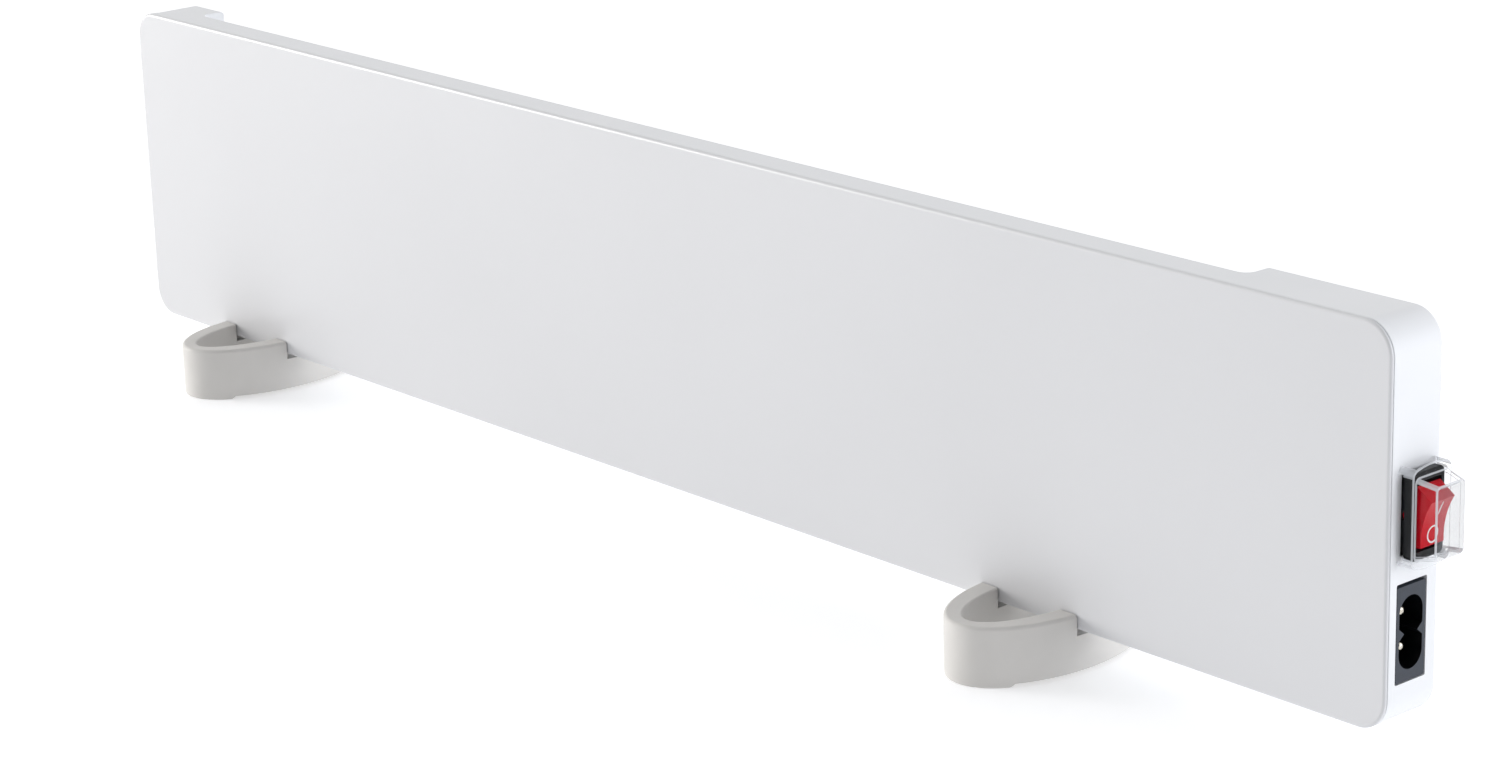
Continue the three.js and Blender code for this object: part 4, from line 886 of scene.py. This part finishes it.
def splash_cover():
    """A clear boot: a skirt round the bezel, and a hood that stands off the rocker."""
    rim = rounded_edge(on_end(COVER_SKIRT), on_end(COVER_SKIRT - COVER_ROUND), COVER_ROUND, 5)
    skirt_rings = [facing("x", barrel(0, SKIRT_CORNER), on_end(0))]
    skirt_rings += [facing("x", barrel(-inset, SKIRT_CORNER - inset), x) for x, inset in rim]
    skirt = skin("clear_boot", skirt_rings)

    def hood_outline(share, inset):
        """The hood's outline, from its base at share 0 to its outer face at share 1."""
        width = HOOD_BASE[0] + (HOOD_TOP[0] - HOOD_BASE[0]) * share - 2 * inset
        height = HOOD_BASE[1] + (HOOD_TOP[1] - HOOD_BASE[1]) * share - 2 * inset
        return centred(width, height, max(HOOD_CORNER_RADIUS - inset, HOOD_LEAST_RADIUS), SWITCH)

    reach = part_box("splash_cover")[1].x
    hood_rings = [facing("x", hood_outline(0, -HOOD_FLARE), on_end(COVER_SKIRT - 0.3))]
    for i in range(6):
        angle = math.pi / 2 * i / 5
        hood_rings.append(facing("x", hood_outline(0, -HOOD_FLARE * (1 - math.sin(angle))),
                                 on_end(COVER_SKIRT + HOOD_FLARE * (1 - math.cos(angle)))))
    hood_rings += [facing("x", hood_outline(1, inset), x)
                   for x, inset in rounded_edge(reach, reach - COVER_ROUND * MM, COVER_ROUND, 5)]
    cut(skirt, skin("hood", hood_rings), operation="UNION")
    inside = [facing("x", hood_outline(0, COVER_WALL), on_end(COVER_FLOOR + 0.2)),
              facing("x", hood_outline(0, COVER_WALL), on_end(COVER_SKIRT))]
    inner_rim = rounded_edge(reach - COVER_WALL * MM, reach - (COVER_WALL + COVER_INNER_ROUND) * MM,
                             COVER_INNER_ROUND, 3)
    inside += [facing("x", hood_outline(1, COVER_WALL + inset), x) for x, inset in inner_rim]
    cut(skirt, skin("inside", inside))
    cut(skirt, between("pocket", "x", centred(*loose(BEZEL), POCKET_CORNER, SWITCH),
                       on_end(COVER_FLOOR), on_end(BEZEL_FRONT + CLEARANCE)))
    cut(skirt, between("body hole", "x", centred(*loose(SWITCH_BODY), 0, SWITCH),
                       on_end(-1), on_end(COVER_FLOOR + 0.5)))
    mark_cover_faces(skirt)
    return soften(skirt, 0)


stands_for(cad_copy("switch_body", "black_bezel_case", BEZEL_EDGE), "heater", black_nylon,
           "switch_body")
stands_for(rocker(), "rocker", red_lens, "rocker")
stands_for(off_ring(), "rocker", mark_ink)
stands_for(on_bar(), "rocker", mark_ink)
stands_for(splash_cover(), "heater", clear_pvc, "splash_cover")


# ------------------------------------------------------------------ inlet

def socket_outline():
    """The figure-eight mouth: a slot with round ends, pinched by a tooth on each side."""
    radius = SOCKET[0] / 2
    reach = SOCKET[1] / 2 - radius

    def arc(centre, start):
        return [(radius * math.cos(start + math.pi * i / 24),
                 centre + radius * math.sin(start + math.pi * i / 24)) for i in range(25)]

    def tooth(side):
        return [(side * (radius - (0 if step else SOCKET_TOOTH)),
                 side * step * SOCKET_TOOTH_BASE / 2) for step in (-1, 0, 1)]

    points = tooth(1) + arc(reach, 0) + tooth(-1) + arc(-reach, math.pi)
    return [(INLET[0] + u * MM, INLET[1] + v * MM) for u, v in points]


def inlet_body():
    """The inlet's body: latches catch behind the end wall, and grooves take the rib."""
    body = between("figure_eight_inlet", "x", centred(*INLET_FACE, INLET_CORNER, INLET),
                   inlet_low.x, inlet_high.x)
    latch_x = END_X - (FRAME_STEP + HOUSING_WALL + CLEARANCE) * MM
    latch = centred(LATCH_WIDTH, INLET_FACE[1] + 2 * LATCH_REACH, 0, INLET)
    cut(body, between("latch", "x", latch, latch_x - LATCH_DEPTH * MM, latch_x),
        operation="UNION")
    cut(body, between("socket", "x", socket_outline(), END_X - SOCKET_DEPTH * MM, END_X + MM))
    for side in (-1, 1):
        centre = (INLET[0], INLET[1] + side * PIN_SPACING / 2 * MM)
        cut(body, round_bar("pin hole", "x", PIN_RADIUS + CLEARANCE, centre, inlet_low.x - MM,
                            END_X - (SOCKET_DEPTH - 1) * MM))
        height = INLET[1] + side * (INLET_FACE[1] / 2 - INLET_GROOVE_FROM_END) * MM
        groove = centred(INLET_FACE[0] + 2, INLET_GROOVE, 0, (INLET[0], height))
        cut(body, between("groove", "x", groove, inlet_low.x - MM,
                          END_X - (SOCKET_DEPTH + INLET_GROOVE_START) * MM))
    return soften(body, INLET_EDGE, 2)


def paint_mouth_shade(body):
    """Gives the faces inside the socket a near-black finish: painted shade for the deep mouth."""
    body.data.materials.append(inlet_mouth_painted_shade)
    for face in body.data.polygons:
        in_width = abs(face.center.y - INLET[0]) < (SOCKET[0] / 2 + 0.02) * MM
        in_height = abs(face.center.z - INLET[1]) < (SOCKET[1] / 2 + 0.02) * MM
        behind = END_X - (SOCKET_DEPTH + 1) * MM < face.center.x < inlet_high.x - 0.25 * MM
        if in_width and in_height and behind:
            # a face deep in the mouth takes the painted shade
            face.material_index = 1


def inlet_pin(name, side):
    """A round nickel-plated pin with a domed nose, and its spade behind the inlet."""
    low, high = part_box(name)
    centre = (INLET[0], INLET[1] + side * PIN_SPACING / 2 * MM)
    levels = [(inlet_low.x - PIN_ROOT * MM, 0)]
    levels += rounded_edge(high.x, high.x - PIN_NOSE * MM, PIN_NOSE, 7)
    pin = skin(name + "_turned", [facing("x", circle(PIN_RADIUS - inset, centre, 32), x)
                                  for x, inset in levels])
    cut(pin, between("spade", "x", centred(*TAB, 0, centre), low.x, inlet_low.x), operation="UNION")
    return soften(pin, 0)


paint_mouth_shade(stands_for(inlet_body(), "heater", inlet_pbt, "inlet_body"))
stands_for(inlet_pin("inlet_pin_live", 1), "heater", nickel, "inlet_pin_live")
stands_for(inlet_pin("inlet_pin_neutral", -1), "heater", nickel, "inlet_pin_neutral")


# ------------------------------------------------------------------ feet

def foot(node):
    """A ring that is elliptical in plan, notched for the panel, and raised between its toes."""
    low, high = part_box(node)
    middle = ((low.x + high.x) / 2, (low.y + high.y) / 2)
    half = ((high.x - low.x) / 2, (high.y - low.y) / 2)

    def ring(z, inset_x, inset_y):
        """The plan's ellipse at a height, drawn in by insets in millimetres."""
        size = (half[0] - inset_x * MM, half[1] - inset_y * MM)
        return facing("z", oval(middle, size, FOOT_SIDES), z)

    def bore(z, grow):
        return ring(z, FOOT_SIDE_WALL - grow, FOOT_TIP_WALL - grow)

    lower = rounded_edge(0, FOOT_LOWER_ROUND * MM, FOOT_LOWER_ROUND, 4)
    upper = rounded_edge(high.z, high.z - FOOT_UPPER_ROUND * MM, FOOT_UPPER_ROUND, 6)
    body = skin(node + "_ring", [ring(z, inset, inset) for z, inset in lower[::-1] + upper])
    mouth = rounded_edge(high.z, high.z - FOOT_MOUTH_ROUND * MM, FOOT_MOUTH_ROUND, 4)
    inner = [bore(-MM, 0)] + [bore(z, inset) for z, inset in mouth]
    inner.append(bore(high.z + MM, FOOT_MOUTH_ROUND))
    cut(body, skin("bore", inner))
    grip = (SLIM_DEPTH / 2 + CLEARANCE) * MM
    floor_z = panel_low.z - FOOT_RIB[1] * MM
    notch = corner_outline((low.x - MM, middle[1] - grip), (high.x + MM, middle[1] + grip),
                           SHARP * MM, 1)
    cut(body, between("notch", "z", notch, floor_z, high.z + MM))
    toe_start = half[1] - FOOT_TOE[1] * MM
    rise = FOOT_TOE[0] * MM
    archway = [(middle[1] - toe_start - MM, -MM), (middle[1] + toe_start + MM, -MM),
               (middle[1] + toe_start - rise, rise), (middle[1] - toe_start + rise, rise)]
    cut(body, between("archway", "x", archway, low.x - MM, high.x + MM))
    soften(body, FOOT_EDGE, 3, 35)
    baked(body)
    for side in (-1, 1):
        rib_x = middle[0] + side * (half[0] - FOOT_SIDE_WALL / 2 * MM)
        rib = between("rib", "z", centred(FOOT_RIB[0], SLIM_DEPTH, 0.4, (rib_x, middle[1])),
                      floor_z - MM, panel_low.z)
        cut(body, rib, operation="UNION")
    return soften(body, 0, angle=35)


stands_for(foot("foot_left"), "left_foot", foot_abs, "foot_left")
stands_for(foot("foot_right"), "right_foot", foot_abs, "foot_right")


# ------------------------------------------------------------------ floor, light and camera

FLOOR_RADIUS = 9  # metres
FLOOR_GLOW = 0.31  # lifts the pale floor to white
TENT_GLOW = 0.83
TENT_OPENING = (0.62, -0.78, 0.05)  # roughly towards the camera, but lower
TENT_OPENING_EDGE = (0.3, 0.97)  # cosines between which the tent turns dim
CAMERA_LENS = 94.09
CAMERA_AT = (0.77195, -0.64015, 0.3505)
CAMERA_TURN, CAMERA_TIP, CAMERA_ROLL = 0.8621, 0.302, -0.0294  # radians


def floor():
    """A round white floor that reaches past what the camera sees."""
    bm = bmesh.new()
    bmesh.ops.create_circle(bm, cap_ends=True, segments=96, radius=FLOOR_RADIUS)
    mesh = bpy.data.meshes.new("studio_floor")
    bm.to_mesh(mesh)
    bm.free()
    piece = linked("studio_floor", mesh)
    material, tree, _, out = new_material("paper_white_sweep")
    surface = add(tree, "ShaderNodeBsdfPrincipled",
                  {"Base Color": colour("#F4F5F7"), "Roughness": 0.8,
                   "Emission Color": colour("#FFFFFF"), "Emission Strength": FLOOR_GLOW})
    tree.links.new(surface.outputs["BSDF"], out.inputs["Surface"])
    mesh.materials.append(material)


def studio_tent():
    """A white tent that is open, and so dimmer, on the side that the camera looks in from."""
    tent = bpy.data.worlds.new("white_tent")
    tent.use_nodes = True
    bpy.context.scene.world = tent
    tree = tent.node_tree
    tree.nodes.clear()
    place = add(tree, "ShaderNodeTexCoord")
    towards = add(tree, "ShaderNodeVectorMath", {"operation": "DOT_PRODUCT", 1: TENT_OPENING},
                  {0: (place, "Generated")})
    opening = add(tree, "ShaderNodeMapRange",
                  {"interpolation_type": "SMOOTHSTEP", "From Min": TENT_OPENING_EDGE[0],
                   "From Max": TENT_OPENING_EDGE[1]}, {"Value": (towards, "Value")})
    tone = add(tree, "ShaderNodeMix",
               {"data_type": "RGBA", 6: colour("#FFFFFF"), 7: colour("#313132")},
               {0: (opening, "Result")})
    glow = add(tree, "ShaderNodeBackground", {"Strength": TENT_GLOW}, {"Color": (tone, 2)})
    add(tree, "ShaderNodeOutputWorld", {}, {"Surface": (glow, "Background")})


def softbox(name, at, aim, width, height, power, code):
    """A lit rectangle that stands at one place and faces another, in metres and watts."""
    lamp = bpy.data.lights.new(name, "AREA")
    lamp.shape = "RECTANGLE"
    lamp.size, lamp.size_y = width, height
    lamp.energy = power
    lamp.color = colour(code)[:3]
    piece = linked(name, lamp)
    piece.location = at
    piece.rotation_mode = "QUATERNION"
    piece.rotation_quaternion = (Vector(aim) - Vector(at)).to_track_quat("-Z", "Y")


def camera():
    lens = bpy.data.cameras.new("camera")
    lens.sensor_width = 36
    lens.lens = CAMERA_LENS
    lens.clip_start = 0.01
    piece = linked("camera", lens)
    piece.matrix_world = (Matrix.Translation(CAMERA_AT)
                          @ Matrix.Rotation(CAMERA_TURN, 4, "Z")
                          @ Matrix.Rotation(math.pi / 2 - CAMERA_TIP, 4, "X")
                          @ Matrix.Rotation(CAMERA_ROLL, 4, "Z"))
    bpy.context.scene.camera = piece


floor()
studio_tent()
softbox("right_window", (1.5, 0.5, 0.4), (0.15, 0, 0.05), 0.9, 0.8, 8.5, "#F6F9FF")
softbox("left_window", (-2.1, -1.3, 0.45), (-0.1, 0, 0.05), 0.9, 0.9, 36, "#FFFCF8")
camera()
bpy.context.scene.view_settings.view_transform = "Standard"
